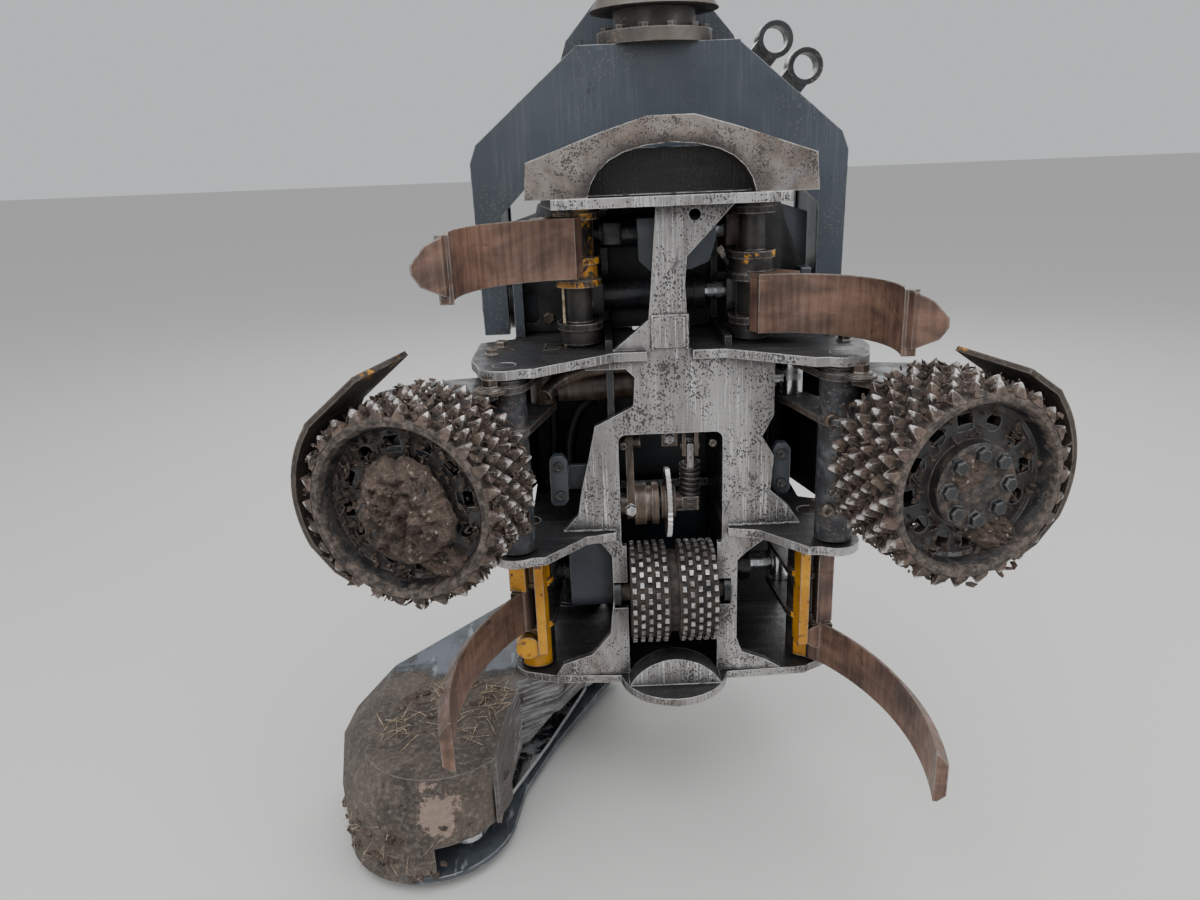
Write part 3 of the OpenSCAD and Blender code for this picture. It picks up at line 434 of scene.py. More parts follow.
def bare_steel(shelf=False):
    here = place_of()
    tone = span(cloud(place_of((1, 1, 0.22)), 10, 7, 0.62, 0.3), 0.3, 0.7)
    colour = over(tone, (0.21, 0.198, 0.193), (0.47, 0.456, 0.45))
    bright = mask(scratches, amount=0.9)
    colour = over(bright, colour, (0.72, 0.71, 0.705))
    # Wood has stained the lower half brown
    low = span(along((0, 0, -1)), 0.95, 1.5, 0.25, 1)
    brown = span(cloud(place_of((1, 1, 0.5)), 8, 7, 0.68, 0.6), 0.48, 0.72)
    colour = over(times(brown, low, 0.65), colour, (0.135, 0.088, 0.062))
    # Black specks of resin, fine and close, in larger swarms
    specks = cells(place_of((1, 1, 0.7)), 230)
    speck = plus(specks, times(cloud(here, 330, 2), 0.6))
    swarm = span(cloud(here, 13, 8, 0.75, 0.4), 0.34, 0.7, 0.4, 0.92)
    black = span(minus(speck, swarm), 0.06, -0.1)
    stains = span(cloud(place_of((1, 1, 0.6)), 17, 9, 0.78, 0.9), 0.57, 0.64)
    black = most(black, times(stains, 0.85))
    colour = over(times(black, 0.9), colour, (0.02, 0.017, 0.016))
    # Faces turned away from the front, which the log doesn't reach, get a dark film, streaked across, that is partly
    # painted shade
    away_film_and_shade = minus(1, facing((0, -1, 0), 0.15, 0.55))
    streak = span(cloud(place_of((3, 34, 34)), 1.6, 6, 0.65), 0.45, 0.75)
    film = over(times(streak, 0.6), (0.012, 0.013, 0.015), (0.085, 0.084, 0.088))
    colour = over(times(away_film_and_shade, 0.93), colour, film)
    if not shelf:
        # Painted shade: the back of the top knife's recess is black
        recess_shade = times(span(along((0, 0, 1), -0.604), -0.001, 0.002), span(along((0, 1, 0), -0.33), 0, 0.004))
        colour = over(recess_shade, colour, over(streak, (0.009, 0.009, 0.01), (0.03, 0.028, 0.027)))
        away_film_and_shade = most(away_film_and_shade, recess_shade)
    # Corner dirt and painted shade: darker in corners and recesses
    dirt_and_shade = mask(corner_dirt, reach=0.05, amount=0.9)
    colour = over(dirt_and_shade, colour, (0.016, 0.014, 0.013))
    worn = mask(edge_wear, width=0.004, amount=1)
    colour = over(worn, colour, (0.62, 0.61, 0.6))
    dull = most(black, dirt_and_shade, times(away_film_and_shade, 0.8))
    metal = times(minus(1, dull), 0.7)
    rough = plus(span(cloud(here, 40, 5, 0.65), 0.3, 0.7, 0.32, 0.54), times(bright, -0.08))
    height = plus(times(bright, -0.25), plus(times(black, 0.4), times(cloud(here, 130, 5, 0.65), 0.35)))
    return coat(colour, rough, height, 0.4, 0.003, metal)


def studded_steel():
    # Only the studs' ends touch the log; bark packs the ground between them
    here = place_of()
    out = distance((0, -0.252, -1.445), (0, 1, 1))
    tops = span(ragged(out, 0.003, 90), 0.104, 0.109)
    ground = over(span(cloud(here, 40, 6, 0.7), 0.35, 0.65), (0.01, 0.009, 0.009), (0.07, 0.052, 0.04))
    steel = over(span(cloud(here, 60, 5, 0.7), 0.35, 0.65), (0.16, 0.145, 0.135), (0.56, 0.545, 0.53))
    colour = over(tops, ground, steel)
    return coat(colour, span(tops, 0, 1, 0.7, 0.34), cloud(here, 140, 4, 0.6), 0.4, 0.001, times(tops, 0.8))


bare_steel_finish = finish_of("scratched_steel", bare_steel)
shelf_finish = finish_of("shelf_steel", lambda: bare_steel(True))
studded_finish = finish_of("studded_steel", studded_steel)
dress(bare_steel_finish, "face_plate", "top_plate")
dress(shelf_finish, "upper_shelf", "lower_shelf", "bottom_plate")
dress(studded_finish, "fixed_roller")

# Knives
# Curved blades of wear steel, stained red-brown by resin and bark, bright along the
# ground edges.


def knife_steel(rear=False):
    here = place_of()
    tone = span(cloud(place_of((1, 1, 2.2)), 7, 7, 0.62, 0.6), 0.32, 0.7)
    colour = over(tone, (0.085, 0.05, 0.038), (0.25, 0.14, 0.098))
    # Fine upright grain of dried resin, with a few pale strokes lengthwise
    grain = cloud(place_of((90, 90, 6)), 1, 5, 0.7)
    colour = over(span(grain, 0.42, 0.72, 0, 0.55), colour, (0.036, 0.02, 0.016))
    colour = over(span(grain, 0.52, 0.3, 0, 0.35), colour, (0.24, 0.165, 0.128))
    strokes = span(cloud(place_of((5, 5, 260)), 1, 4, 0.6), 0.66, 0.73)
    strokes = times(strokes, span(cloud(here, 8, 4), 0.52, 0.66))
    colour = over(times(strokes, 0.8), colour, (0.42, 0.36, 0.32))
    rust = span(cloud(here, 24, 7, 0.72, 0.6), 0.58, 0.74)
    colour = over(times(rust, 0.5), colour, (0.15, 0.062, 0.03))
    dark = span(cloud(here, 15, 8, 0.7, 0.9), 0.6, 0.7)
    colour = over(times(dark, 0.7), colour, (0.02, 0.014, 0.012))
    # The hub and its levers stay black and oily
    x, y, z = axes()
    side = sums("ABSOLUTE", x)
    flat = put("ShaderNodeCombineXYZ", {0: side, 1: y, 2: 0.0}).outputs[0]
    pin = (0.305, -0.200, 0) if rear else (0.175, -0.190, 0)
    away = vector_of("DISTANCE", flat, pin)
    hub = most(span(away, 0.0495, 0.0465), span(y, pin[1] + 0.012, pin[1] + 0.018))
    oily = over(span(cloud(here, 22, 6, 0.65), 0.35, 0.68), (0.009, 0.009, 0.01), (0.05, 0.043, 0.038))
    colour = over(hub, colour, oily)
    # Old safety yellow: on the rear knife's ribs and boss, and in chips on the front knife's hub
    chips = span(cloud(place_of((1, 1, 0.7)), 26, 7, 0.72, 0.7), 0.47, 0.52)
    if rear:
        left = span(x, 0.001, -0.001)
        rib = times(span(side, 0.3015, 0.3005), span(y, -0.2265, -0.2285))
        upper_rib = times(span(z, -1.4318, -1.4312), span(y, -0.211, -0.2125), left)
        boss = times(span(z, -1.5305, -1.5325), span(y, -0.222, -0.224), left)
        painted = most(rib, upper_rib, boss)
        painted = times(painted, span(cloud(here, 30, 8, 0.75, 0.8), 0.62, 0.57))
        hub = times(hub, minus(1, most(rib, upper_rib)))
    else:
        # Few chips are left on the right hub
        worse = sums("SUBTRACT", chips, times(span(x, -0.001, 0.001), span(cloud(here, 17, 5), 0.66, 0.6)), True)
        painted = times(hub, worse, span(y, -0.2, -0.214), span(away, 0.029, 0.031), span(z, -0.812, -0.806))
    yellow = over(span(cloud(here, 12, 6, 0.6), 0.35, 0.65), (0.48, 0.2, 0.012), (0.72, 0.34, 0.02))
    yellow = over(span(cloud(here, 70, 6, 0.75), 0.58, 0.66), yellow, (0.12, 0.055, 0.014))
    colour = over(painted, colour, yellow)
    # Corner dirt and painted shade: darker in corners and recesses
    dirt_and_shade = mask(corner_dirt, reach=0.035, amount=0.75)
    colour = over(dirt_and_shade, colour, (0.018, 0.015, 0.013))
    worn = mask(edge_wear, width=0.005, amount=1)
    colour = over(times(worn, 0.9), colour, (0.36, 0.32, 0.29))
    metal = sums("ADD", 0.15, times(most(worn, strokes), 0.55), True)
    metal = times(metal, minus(1, painted))
    rough = span(cloud(here, 30, 5, 0.65), 0.3, 0.7, 0.38, 0.62)
    rough = minus(rough, times(hub, 0.12))
    height = plus(times(grain, 0.35), plus(times(painted, 0.6), times(cloud(here, 110, 5, 0.65), 0.4)))
    return coat(colour, rough, height, 0.4, 0.004, metal)


def top_knife_steel():
    # Paler than the others; painted shade darkens it towards the arch it guards
    here = place_of()
    colour = over(span(cloud(place_of((1, 1, 0.6)), 12, 7, 0.65, 0.5), 0.32, 0.68), (0.11, 0.088, 0.076),
                  (0.27, 0.238, 0.215))
    warm = span(cloud(here, 6, 6, 0.6, 0.8), 0.5, 0.7)
    colour = over(times(warm, 0.6), colour, (0.185, 0.112, 0.078))
    cool = span(cloud(place_of((1, 1, 1), (0.4, 0, 0.7)), 8, 6, 0.6, 0.8), 0.54, 0.72)
    colour = over(times(cool, 0.5), colour, (0.215, 0.23, 0.25))
    specks = cells(here, 250)
    speck = plus(specks, times(cloud(here, 300, 2), 0.6))
    swarm = span(cloud(here, 11, 8, 0.75, 0.6), 0.36, 0.66, 0.45, 0.98)
    black = span(minus(speck, swarm), 0.06, -0.1)
    colour = over(times(black, 0.85), colour, (0.022, 0.018, 0.016))
    # The arch is flat on top and steep at its ends: a squashed circle about its middle
    arch = distance((0, 0, -0.618), (1, 0, 1.52))
    # Painted shade for the arch's recess: near-black close to the arch
    near = span(ragged(arch, 0.012, 22), 0.196, 0.15)
    colour = over(times(near, 0.95), colour, (0.02, 0.014, 0.011))
    # Faces turned away from the front are darker: a dark film and painted shade
    away_film_and_shade = minus(1, facing((0, -1, 0), 0.1, 0.5))
    colour = over(times(away_film_and_shade, 0.7), colour, (0.045, 0.036, 0.031))
    worn = mask(edge_wear, width=0.004, amount=1)
    colour = over(worn, colour, (0.5, 0.48, 0.46))
    metal = times(minus(1, most(black, near)), 0.45)
    height = plus(times(black, 0.4), times(cloud(here, 120, 5, 0.7), 0.5))
    return coat(colour, span(cloud(here, 30, 5, 0.65), 0.3, 0.7, 0.4, 0.64), height, 0.45, 0.004, metal)


dress(finish_of("top_knife_steel", top_knife_steel), "top_knife")
dress(finish_of("front_knife_steel", knife_steel), "front_knife_left", "front_knife_right")
dress(finish_of("rear_knife_steel", lambda: knife_steel(True)), "rear_knife_left", "rear_knife_right")

# Feed arms
# Cast arms that swing the rollers: slate-black upper faces, streaked lighter where they face up,
# brown flanks packed with bark dust and oil.


def arm_iron():
    here = place_of()
    colour = over(span(cloud(here, 9, 7, 0.65, 0.4), 0.34, 0.68), (0.018, 0.015, 0.014), (0.088, 0.066, 0.05))
    # Faces turned up get the lighter, streaked slate tone
    top = facing((0, 0, 1))
    streak = span(cloud(place_of((6, 40, 40)), 1.4, 6, 0.65), 0.42, 0.74)
    slate = over(streak, (0.02, 0.023, 0.028), (0.115, 0.12, 0.128))
    # The hub that turns on the pin is slate too
    x, y, _ = axes()
    flat = put("ShaderNodeCombineXYZ", {0: sums("ABSOLUTE", x), 1: y, 2: 0.0}).outputs[0]
    away = vector_of("DISTANCE", flat, (0.320, -0.350, 0))
    top = most(top, times(span(away, 0.046, 0.042), 0.9))
    colour = over(times(top, 0.92), colour, slate)
    rust = span(cloud(here, 19, 7, 0.7, 0.6), 0.56, 0.72)
    colour = over(times(rust, 0.5), colour, (0.15, 0.07, 0.034))
    # Corner dirt and painted shade: darker in corners and recesses
    dirt_and_shade = mask(corner_dirt, reach=0.05, amount=0.85)
    colour = over(dirt_and_shade, colour, (0.017, 0.014, 0.012))
    worn = mask(edge_wear, width=0.005, amount=0.9)
    colour = over(worn, colour, (0.34, 0.32, 0.3))
    mud = mask(spatter, size=1.2, amount=0.7)
    colour = over(mud, colour, (0.16, 0.125, 0.098))
    return coat(colour, span(cloud(here, 22, 5, 0.6), 0.3, 0.7, 0.34, 0.66),
                plus(times(cloud(here, 150, 4, 0.6), 0.35), times(mud, 0.6)), 0.5, 0.004, times(worn, 0.8))


dress(finish_of("feed_arm_iron", arm_iron), "feed_arm_left", "feed_arm_right")

# Roller guards
# Bent strips that keep brush off the rollers: dark brown, matted with bark and mud, with
# rubbed rims and the last of their yellow paint inside the straight end.


def caked_mud():
    here = place_of()
    lumps = cloud(here, 9, 9, 0.7, 0.5)
    grit = cloud(here, 95, 6, 0.72)
    colour = over(span(lumps, 0.34, 0.64), (0.016, 0.013, 0.012), (0.07, 0.052, 0.041))
    colour = over(span(grit, 0.46, 0.72, 0, 0.55), colour, (0.165, 0.13, 0.104))
    clean = span(cloud(here, 5.2, 6, 0.65, 0.6), 0.56, 0.66)
    colour = over(times(clean, 0.8), colour, (0.016, 0.016, 0.018))
    fibre = span(cloud(place_of((12, 120, 60), (0.3, 0.5, 0.2)), 1.5, 5, 0.7), 0.6, 0.7)
    colour = over(times(fibre, 0.5), colour, (0.26, 0.205, 0.15))
    x, _, z = axes()
    paint = times(span(z, -0.925, -0.905), span(sums("ABSOLUTE", x), 0.545, 0.525),
                  span(cloud(here, 24, 6, 0.7, 0.6), 0.52, 0.57))
    colour = over(paint, colour, (0.55, 0.25, 0.016))
    worn = mask(edge_wear, width=0.005, amount=0.85)
    colour = over(worn, colour, (0.27, 0.235, 0.205))
    rough = minus(span(lumps, 0.3, 0.7, 0.62, 0.92), times(clean, 0.35))
    thick = minus(1, clean)
    height = times(plus(times(lumps, 2.4), times(grit, 0.6)), thick)
    return coat(colour, rough, height, 0.75, 0.004, times(worn, 0.5))


caked_mud_finish = finish_of("mud_caked_steel", caked_mud)
dress(caked_mud_finish, "roller_guard_left", "roller_guard_right")

# Saw box
# A welded housing for the chain saw: its wall towards the log is rubbed bright, its roof
# keeps slate-blue paint where nothing lies, and mud cakes the rest of it.


def saw_box_steel():
    here = place_of()
    lumps = cloud(here, 7, 9, 0.7, 0.5)
    grit = cloud(here, 85, 6, 0.74)
    mud = over(span(lumps, 0.34, 0.64), (0.034, 0.027, 0.023), (0.098, 0.076, 0.061))
    mud = over(span(grit, 0.44, 0.7, 0, 0.65), mud, (0.23, 0.195, 0.165))
    mud = over(span(cloud(here, 45, 7, 0.75), 0.56, 0.68), mud, (0.018, 0.014, 0.012))
    # Slate-blue enamel and dark film under the mud
    slate = over(span(cloud(place_of((2, 2, 20)), 3, 6, 0.65), 0.35, 0.7), (0.03, 0.038, 0.049),
                 (0.105, 0.122, 0.145))
    slate = over(span(cloud(place_of((30, 8, 30), (0, 0, 0.9)), 1.5, 4), 0.58, 0.7), slate, (0.215, 0.235, 0.26))
    # Mud lies on the nose, and thins out towards the hinge end and the outer edge of the roof
    nose = plus(along((0, -1, 0), 0.185), times(minus(lumps, 0.5), 0.55))
    caked = span(nose, -0.02, 0.05)
    floor = span(along((0, 0, -1), 1.884), -0.002, 0.002)
    floor = times(floor, span(plus(along((1, 0, 0), -0.56), times(lumps, 0.16)), 0.06, 0.12))
    caked = times(caked, minus(1, times(floor, 0.9)))
    colour = over(caked, slate, mud)
    # The wall towards the log
    lip = times(span(along((1, 0, 0), -0.392), 0, 0.012), span(along((0, 0, 1), -1.872), 0, 0.004),
                facing((0.55, -0.6, 0.2), 0.1, 0.4), span(along((0, 1, 0), 0.02), 0.002, -0.002))
    rubbed = over(span(cloud(place_of((9, 9, 120), (0.5, 0, 0)), 1, 5, 0.65), 0.35, 0.7), (0.085, 0.08, 0.08),
                  (0.37, 0.36, 0.36))
    rubbed = over(span(cloud(here, 30, 8, 0.76, 0.5), 0.56, 0.63), rubbed, (0.022, 0.018, 0.016))
    rubbed = over(span(ragged(along((0, -1, 0), 0.3), 0.06, 14), 0, 0.08, 0, 0.75), rubbed, (0.115, 0.098, 0.086))
    colour = over(lip, colour, rubbed)
    # A wiped, pinkish patch low on the nose where the left knife's tip rests
    wiped = times(span(ragged(distance((-0.49, 0, -1.738), (1, 0, 0.65)), 0.026, 26), 0.038, 0.029),
                  facing((0, -1, 0), 0.2, 0.5))
    colour = over(times(wiped, 0.9), colour, over(grit, (0.15, 0.1, 0.08), (0.42, 0.315, 0.255)))
    worn = mask(edge_wear, width=0.004, amount=0.9)
    worn = times(worn, minus(1, times(caked, 0.55)))
    colour = over(worn, colour, (0.46, 0.45, 0.44))
    metal = most(times(worn, 0.7), times(lip, 0.55))
    rough = plus(span(grit, 0.3, 0.7, 0.4, 0.58), times(caked, 0.32))
    height = plus(times(plus(times(lumps, 2.6), times(grit, 0.9)), times(caked, minus(1, lip))), times(grit, 0.15))
    return coat(colour, rough, height, 0.8, 0.004, metal)


dress(finish_of("saw_box_steel", saw_box_steel), "saw_box")

# Feed rollers
# Steel drums, open at the back for their motors and dished in front, with pointed spikes
# welded round them in staggered rings. Bark and mud pack the hub; only the tips stay bright.


def meshed(made, name):
    mesh = bpy.data.meshes.new(name)
    made.to_mesh(mesh)
    made.free()
    return mesh


def turned(profile, steps, name):
    """A shape of revolution about Z; profile is a list of (radius, height), on the axis at both ends or closed."""
    made = bmesh.new()
    rings = []
    for radius, height in profile:
        if radius < 1e-6:
            rings.append([made.verts.new((0, 0, height))])
        else:
            rings.append([made.verts.new((radius * math.cos(2 * math.pi * i / steps),
                                          radius * math.sin(2 * math.pi * i / steps), height)) for i in range(steps)])
    pairs = list(zip(rings, rings[1:]))
    if len(rings[0]) > 1 and len(rings[-1]) > 1:
        pairs.append((rings[-1], rings[0]))
    for one, two in pairs:
        for i in range(steps):
            k = (i + 1) % steps
            corners = [one[i % len(one)], one[k % len(one)], two[k % len(two)], two[i % len(two)]]
            made.faces.new(list(dict.fromkeys(corners)))
    bmesh.ops.recalc_face_normals(made, faces=made.faces)
    return meshed(made, name)


def prism(outline, low, high, name):
    """An upright block with that outline in X and Y."""
    made = bmesh.new()
    for points in (outline if isinstance(outline[0][0], (tuple, list)) else [outline]):
        bottom = made.faces.new([made.verts.new((x, y, low)) for x, y in points])
        grown_up = bmesh.ops.extrude_face_region(made, geom=[bottom])["geom"]
        bmesh.ops.translate(made, vec=(0, 0, high - low), verts=[v for v in grown_up if isinstance(v,
                bmesh.types.BMVert)])
    bmesh.ops.recalc_face_normals(made, faces=made.faces)
    return meshed(made, name)


def loose(mesh, name="blank"):
    blank = bpy.data.objects.new(name, mesh)
    bpy.context.scene.collection.objects.link(blank)
    return blank


def settled(blank):
    """The object's mesh with its modifiers applied; the object itself goes."""
    graph = bpy.context.evaluated_depsgraph_get()
    graph.update()
    mesh = bpy.data.meshes.new_from_object(blank.evaluated_get(graph), depsgraph=graph)
    bpy.data.objects.remove(blank)
    return mesh


def cut(mesh, tool_mesh):
    blank, tool = loose(mesh), loose(tool_mesh)
    change = blank.modifiers.new("cut", "BOOLEAN")
    change.operation = "DIFFERENCE"
    change.solver = "EXACT"
    change.object = tool
    made = settled(blank)
    bpy.data.objects.remove(tool)
    return made


def piece(name, mesh, body, finish=None, place=None, smooth=35):
    if place is not None:
        mesh.transform(place)
        if place.determinant() < 0:
            mesh.flip_normals()
    if finish is not None:
        mesh.materials.clear()
        mesh.materials.append(finish)
    mesh.name = name
    made = bpy.data.objects.new(name, mesh)
    bpy.context.scene.collection.objects.link(made)
    mesh.shade_smooth()
    mesh.set_sharp_from_angle(angle=math.radians(smooth))
    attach(made, body)
    return made


def growth(name, takes):
    """An empty geometry tree with named inputs; returns their sockets."""
    tree = Bench.tree = bpy.data.node_groups.new(name, "GeometryNodeTree")
    tree.interface.new_socket("Geometry", in_out="OUTPUT", socket_type="NodeSocketGeometry")
    for label, (kind, value) in takes.items():
        socket = tree.interface.new_socket(label, in_out="INPUT", socket_type="NodeSocket" + kind)
        if value is not None:
            socket.default_value = value
    return tree.nodes.new("NodeGroupInput").outputs


def finished(shapes, given):
    """Gives the shapes their finish and closes the tree."""
    done = put("GeometryNodeSetMaterial", {"Geometry": shapes, "Material": given["Finish"]}).outputs[0]
    Bench.tree.links.new(done, Bench.tree.nodes.new("NodeGroupOutput").inputs[0])
    return Bench.tree


def chance(given, low, high, shift):
    """A random value between low and high; each shift draws its own."""
    return put("FunctionNodeRandomValue", {2: low, 3: high, "Seed": plus(given["Seed"], float(shift))}).outputs[1]


def copies_of(given):
    return put("GeometryNodeObjectInfo", {"Object": given["Copy"]}).outputs["Geometry"]


def finish_growth(points, turn, size, given):
    """Puts a copy on each point, makes the copies real and gives them their finish."""
    copy = copies_of(given)
    on_points = put("GeometryNodeInstanceOnPoints", {"Points": points, "Instance": copy, "Rotation": turn,
                                                     "Scale": size})
    real = put("GeometryNodeRealizeInstances", {"Geometry": on_points.outputs[0]})
    return finished(real.outputs[0], given)


def grown(growing, places=(), **values):
    """What a geometry tree makes, as a mesh; places are the points that it grows on, if it takes any."""
    ground = bpy.data.meshes.new("carrier")
    ground.from_pydata(places, [], [])
    carrier = loose(ground)
    change = carrier.modifiers.new("growth", "NODES")
    change.node_group = growing
    for item in growing.interface.items_tree:
        key = item.name.replace(" ", "_").lower()
        if item.in_out == "INPUT" and key in values:
            change[item.identifier] = values[key]
    return settled(carrier)


def build_rings():
    # Copies in rings about Z, every other ring turned by half a pitch, each leaning a little
    given = growth("rings_of_copies", {"Copy": ("Object", None), "Rings": ("Int", 1), "Count": ("Int", 8),
                                       "Radius": ("Float", 0.1), "Start": ("Float", 0.0), "Pitch": ("Float", 0.0),
                                       "Stagger": ("Float", 0.5), "Lean": ("Float", 0.0), "Outward": ("Float", 1.0),
                                       "Seed": ("Int", 3), "Finish": ("Material", None)})
    index = put("GeometryNodeInputIndex").outputs[0]
    ring = sums("FLOOR", sums("DIVIDE", plus(index, 0.01), given["Count"]))
    odd = sums("MODULO", ring, 2)
    step = plus(index, times(odd, given["Stagger"]))
    angle = times(sums("DIVIDE", step, given["Count"]), 2 * math.pi)
    where = put("ShaderNodeCombineXYZ", {0: times(sums("COSINE", angle), given["Radius"]),
                                         1: times(sums("SINE", angle), given["Radius"]),
                                         2: plus(given["Start"], times(ring, given["Pitch"]))}).outputs[0]
    total = times(given["Rings"], given["Count"])
    points = put("GeometryNodePoints", {"Count": total}).outputs[0]
    points = put("GeometryNodeSetPosition", {"Geometry": points, "Position": where}).outputs[0]
    lean = put("FunctionNodeRandomValue", {2: times(given["Lean"], -1), 3: given["Lean"],
                                           "Seed": given["Seed"]}).outputs[1]
    turn = put("ShaderNodeCombineXYZ", {0: lean, 1: plus(times(given["Outward"], math.pi / 2), lean),
                                        2: angle}).outputs[0]
    return finish_growth(points, turn, (1, 1, 1), given)


def build_litter():
    # Chips scattered over the skin of a drum, or over a flat ring where Deep is nought
    given = growth("litter_on_drum", {"Copy": ("Object", None), "Count": ("Int", 100), "Inner": ("Float", 0.1),
                                      "Outer": ("Float", 0.1), "Low": ("Float", 0.0), "High": ("Float", 0.0),
                                      "From angle": ("Float", 0.0), "To angle": ("Float", 6.28), "Seed": ("Int", 5),
                                      "Finish": ("Material", None)})
    angle = chance(given, given["From angle"], given["To angle"], 11)
    radius = chance(given, given["Inner"], given["Outer"], 23)
    where = put("ShaderNodeCombineXYZ", {0: times(sums("COSINE", angle), radius),
                                         1: times(sums("SINE", angle), radius),
                                         2: chance(given, given["Low"], given["High"], 37)}).outputs[0]
    points = put("GeometryNodePoints", {"Count": given["Count"]}).outputs[0]
    points = put("GeometryNodeSetPosition", {"Geometry": points, "Position": where}).outputs[0]
    turn = put("ShaderNodeCombineXYZ", {0: chance(given, 0.0, 6.28, 41), 1: chance(given, 0.0, 6.28, 43),
                                        2: chance(given, 0.0, 6.28, 47)}).outputs[0]
    return finish_growth(points, turn, chance(given, 0.45, 1.25, 53), given)


rings_of_copies = build_rings()
litter_on_drum = build_litter()


def spike_shape():
    # A four-sided point with a small blunt tip; "tip" is one at the top for the shader
    levels = [(0.0135, 0.0120, -0.003), (0.0115, 0.0105, 0.004), (0.0042, 0.0034, 0.0175), (0.0014, 0.0010, 0.0215)]
    made = bmesh.new()
    rows = [[made.verts.new((x * sx, y * sy, z)) for sx, sy in ((-1, -1), (1, -1), (1, 1), (-1, 1))] for x, y,
            z in levels]
    for one, two in zip(rows, rows[1:]):
        for i in range(4):
            made.faces.new((one[i], one[(i + 1) % 4], two[(i + 1) % 4], two[i]))
    made.faces.new(rows[-1])
    made.faces.new(list(reversed(rows[0])))
    mesh = meshed(made, "spike")
    tip = mesh.attributes.new("tip", "FLOAT", "POINT")
    for i, vertex in enumerate(mesh.vertices):
        tip.data[i].value = max(0.0, vertex.co.z / 0.0215)
    return mesh


def chip_shape():
    # A torn flake of bark, bent a little
    outline = [(-0.0085, -0.003), (0.002, -0.0042), (0.009, -0.0015), (0.0075, 0.003), (-0.003, 0.0040)]
    mesh = prism(outline, -0.0009, 0.0009, "chip")
    for vertex in mesh.vertices:
        vertex.co.z += 18.0 * vertex.co.x ** 2 - 0.0006
    return mesh


def hex_bolt_shape(width, tall):
    # A hexagon head with its washer face and the corners turned off
    half = width / 2 / math.cos(math.pi / 6)
    head = [(0, tall), (half * 0.8, tall), (half * 0.98, tall * 0.82), (half * 0.98, tall * 0.16),
            (half * 1.22, tall * 0.14), (half * 1.22, -0.002), (0, -0.002)]
    return turned(head, 6, "bolt_head")


def spike_steel():
    # Bright only at the tips, and only here and there; resin and bark brown the rest
    here = place_of()
    tip = put("ShaderNodeAttribute", attribute_name="tip").outputs["Fac"]
    torn = plus(tip, span(cloud(here, 48, 5, 0.72), 0.3, 0.7, -0.5, 0.26))
    bright = span(torn, 0.5, 0.84)
    dull = over(span(cloud(here, 38, 6, 0.7), 0.35, 0.65), (0.016, 0.013, 0.012), (0.12, 0.08, 0.06))
    dull = over(span(cloud(here, 90, 6, 0.75), 0.52, 0.7), dull, (0.2, 0.155, 0.125))
    worn = mask(edge_wear, width=0.002, amount=0.7)
    bright = most(bright, times(worn, span(torn, 0.05, 0.5)))
    colour = over(bright, dull, (0.54, 0.51, 0.49))
    return coat(colour, span(bright, 0, 1, 0.66, 0.36), cloud(here, 160, 4, 0.6), 0.5, 0.0012, times(bright, 0.75))


def bark_litter():
    # Crumbled bark and mud, each flake its own brown, with pale splinters among them
    here = place_of()
    own = put("ShaderNodeSeparateColor", {"Color": cells(here, 210, "Color")}).outputs[0]
    broad = cloud(here, 26, 8, 0.72)
    colour = over(span(broad, 0.34, 0.66), (0.022, 0.016, 0.013), (0.098, 0.068, 0.052))
    colour = over(span(own, 0.35, 0.85, 0, 0.55), colour, (0.135, 0.092, 0.07))
    colour = over(span(own, 0.965, 0.98, 0, 0.6), colour, (0.34, 0.29, 0.24))
    colour = over(span(cloud(here, 120, 6, 0.75), 0.52, 0.68, 0, 0.7), colour, (0.014, 0.011, 0.009))
    fibre = cloud(place_of((30, 30, 260)), 1, 5, 0.7)
    colour = over(span(fibre, 0.5, 0.72, 0, 0.45), colour, (0.19, 0.15, 0.12))
    return coat(colour, span(fibre, 0.3, 0.7, 0.68, 0.94), plus(fibre, broad), 0.9, 0.0008)


spike_finish = finish_of("spike_steel", spike_steel)
bark_finish = finish_of("bark_and_mud", bark_litter)
spike_blank = loose(spike_shape(), "spike_blank")
chip_blank = loose(chip_shape(), "chip_blank")
bolt_blank = loose(hex_bolt_shape(0.024, 0.013), "bolt_blank")


def bark_heap(radius, rise, seed):
    """A lumpy mound of packed bark, thin at its rim."""
    made = bmesh.new()
    rounds, steps = 22, 72
    rows = []
    for k in range(rounds + 1):
        share = k / rounds
        row = []
        for i in range(steps):
            angle = 2 * math.pi * i / steps
            round_way = Vector((math.cos(angle), math.sin(angle), seed))
            wobble = 1.0 + 0.22 * noise.noise(round_way * 1.3) + 0.12 * noise.noise(round_way * 5.0)
            reach = radius * share * wobble
            x, y = reach * math.cos(angle), reach * math.sin(angle)
            lump = noise.fractal(Vector((x * 48, y * 48, seed)), 0.8, 2.1, 6)
            tall = (1 - share ** 4) * rise * (0.80 + 0.70 * lump) - (0.006 if k == rounds else 0.0)
            row.append(made.verts.new((x, y, tall)))
            if k == 0:
                break
        rows.append(row)
    for one, two in zip(rows, rows[1:]):
        for i in range(steps):
            corners = [one[i % len(one)], two[i], two[(i + 1) % steps], one[(i + 1) % len(one)]]
            made.faces.new(list(dict.fromkeys(corners)))
    return meshed(made, "bark_heap")


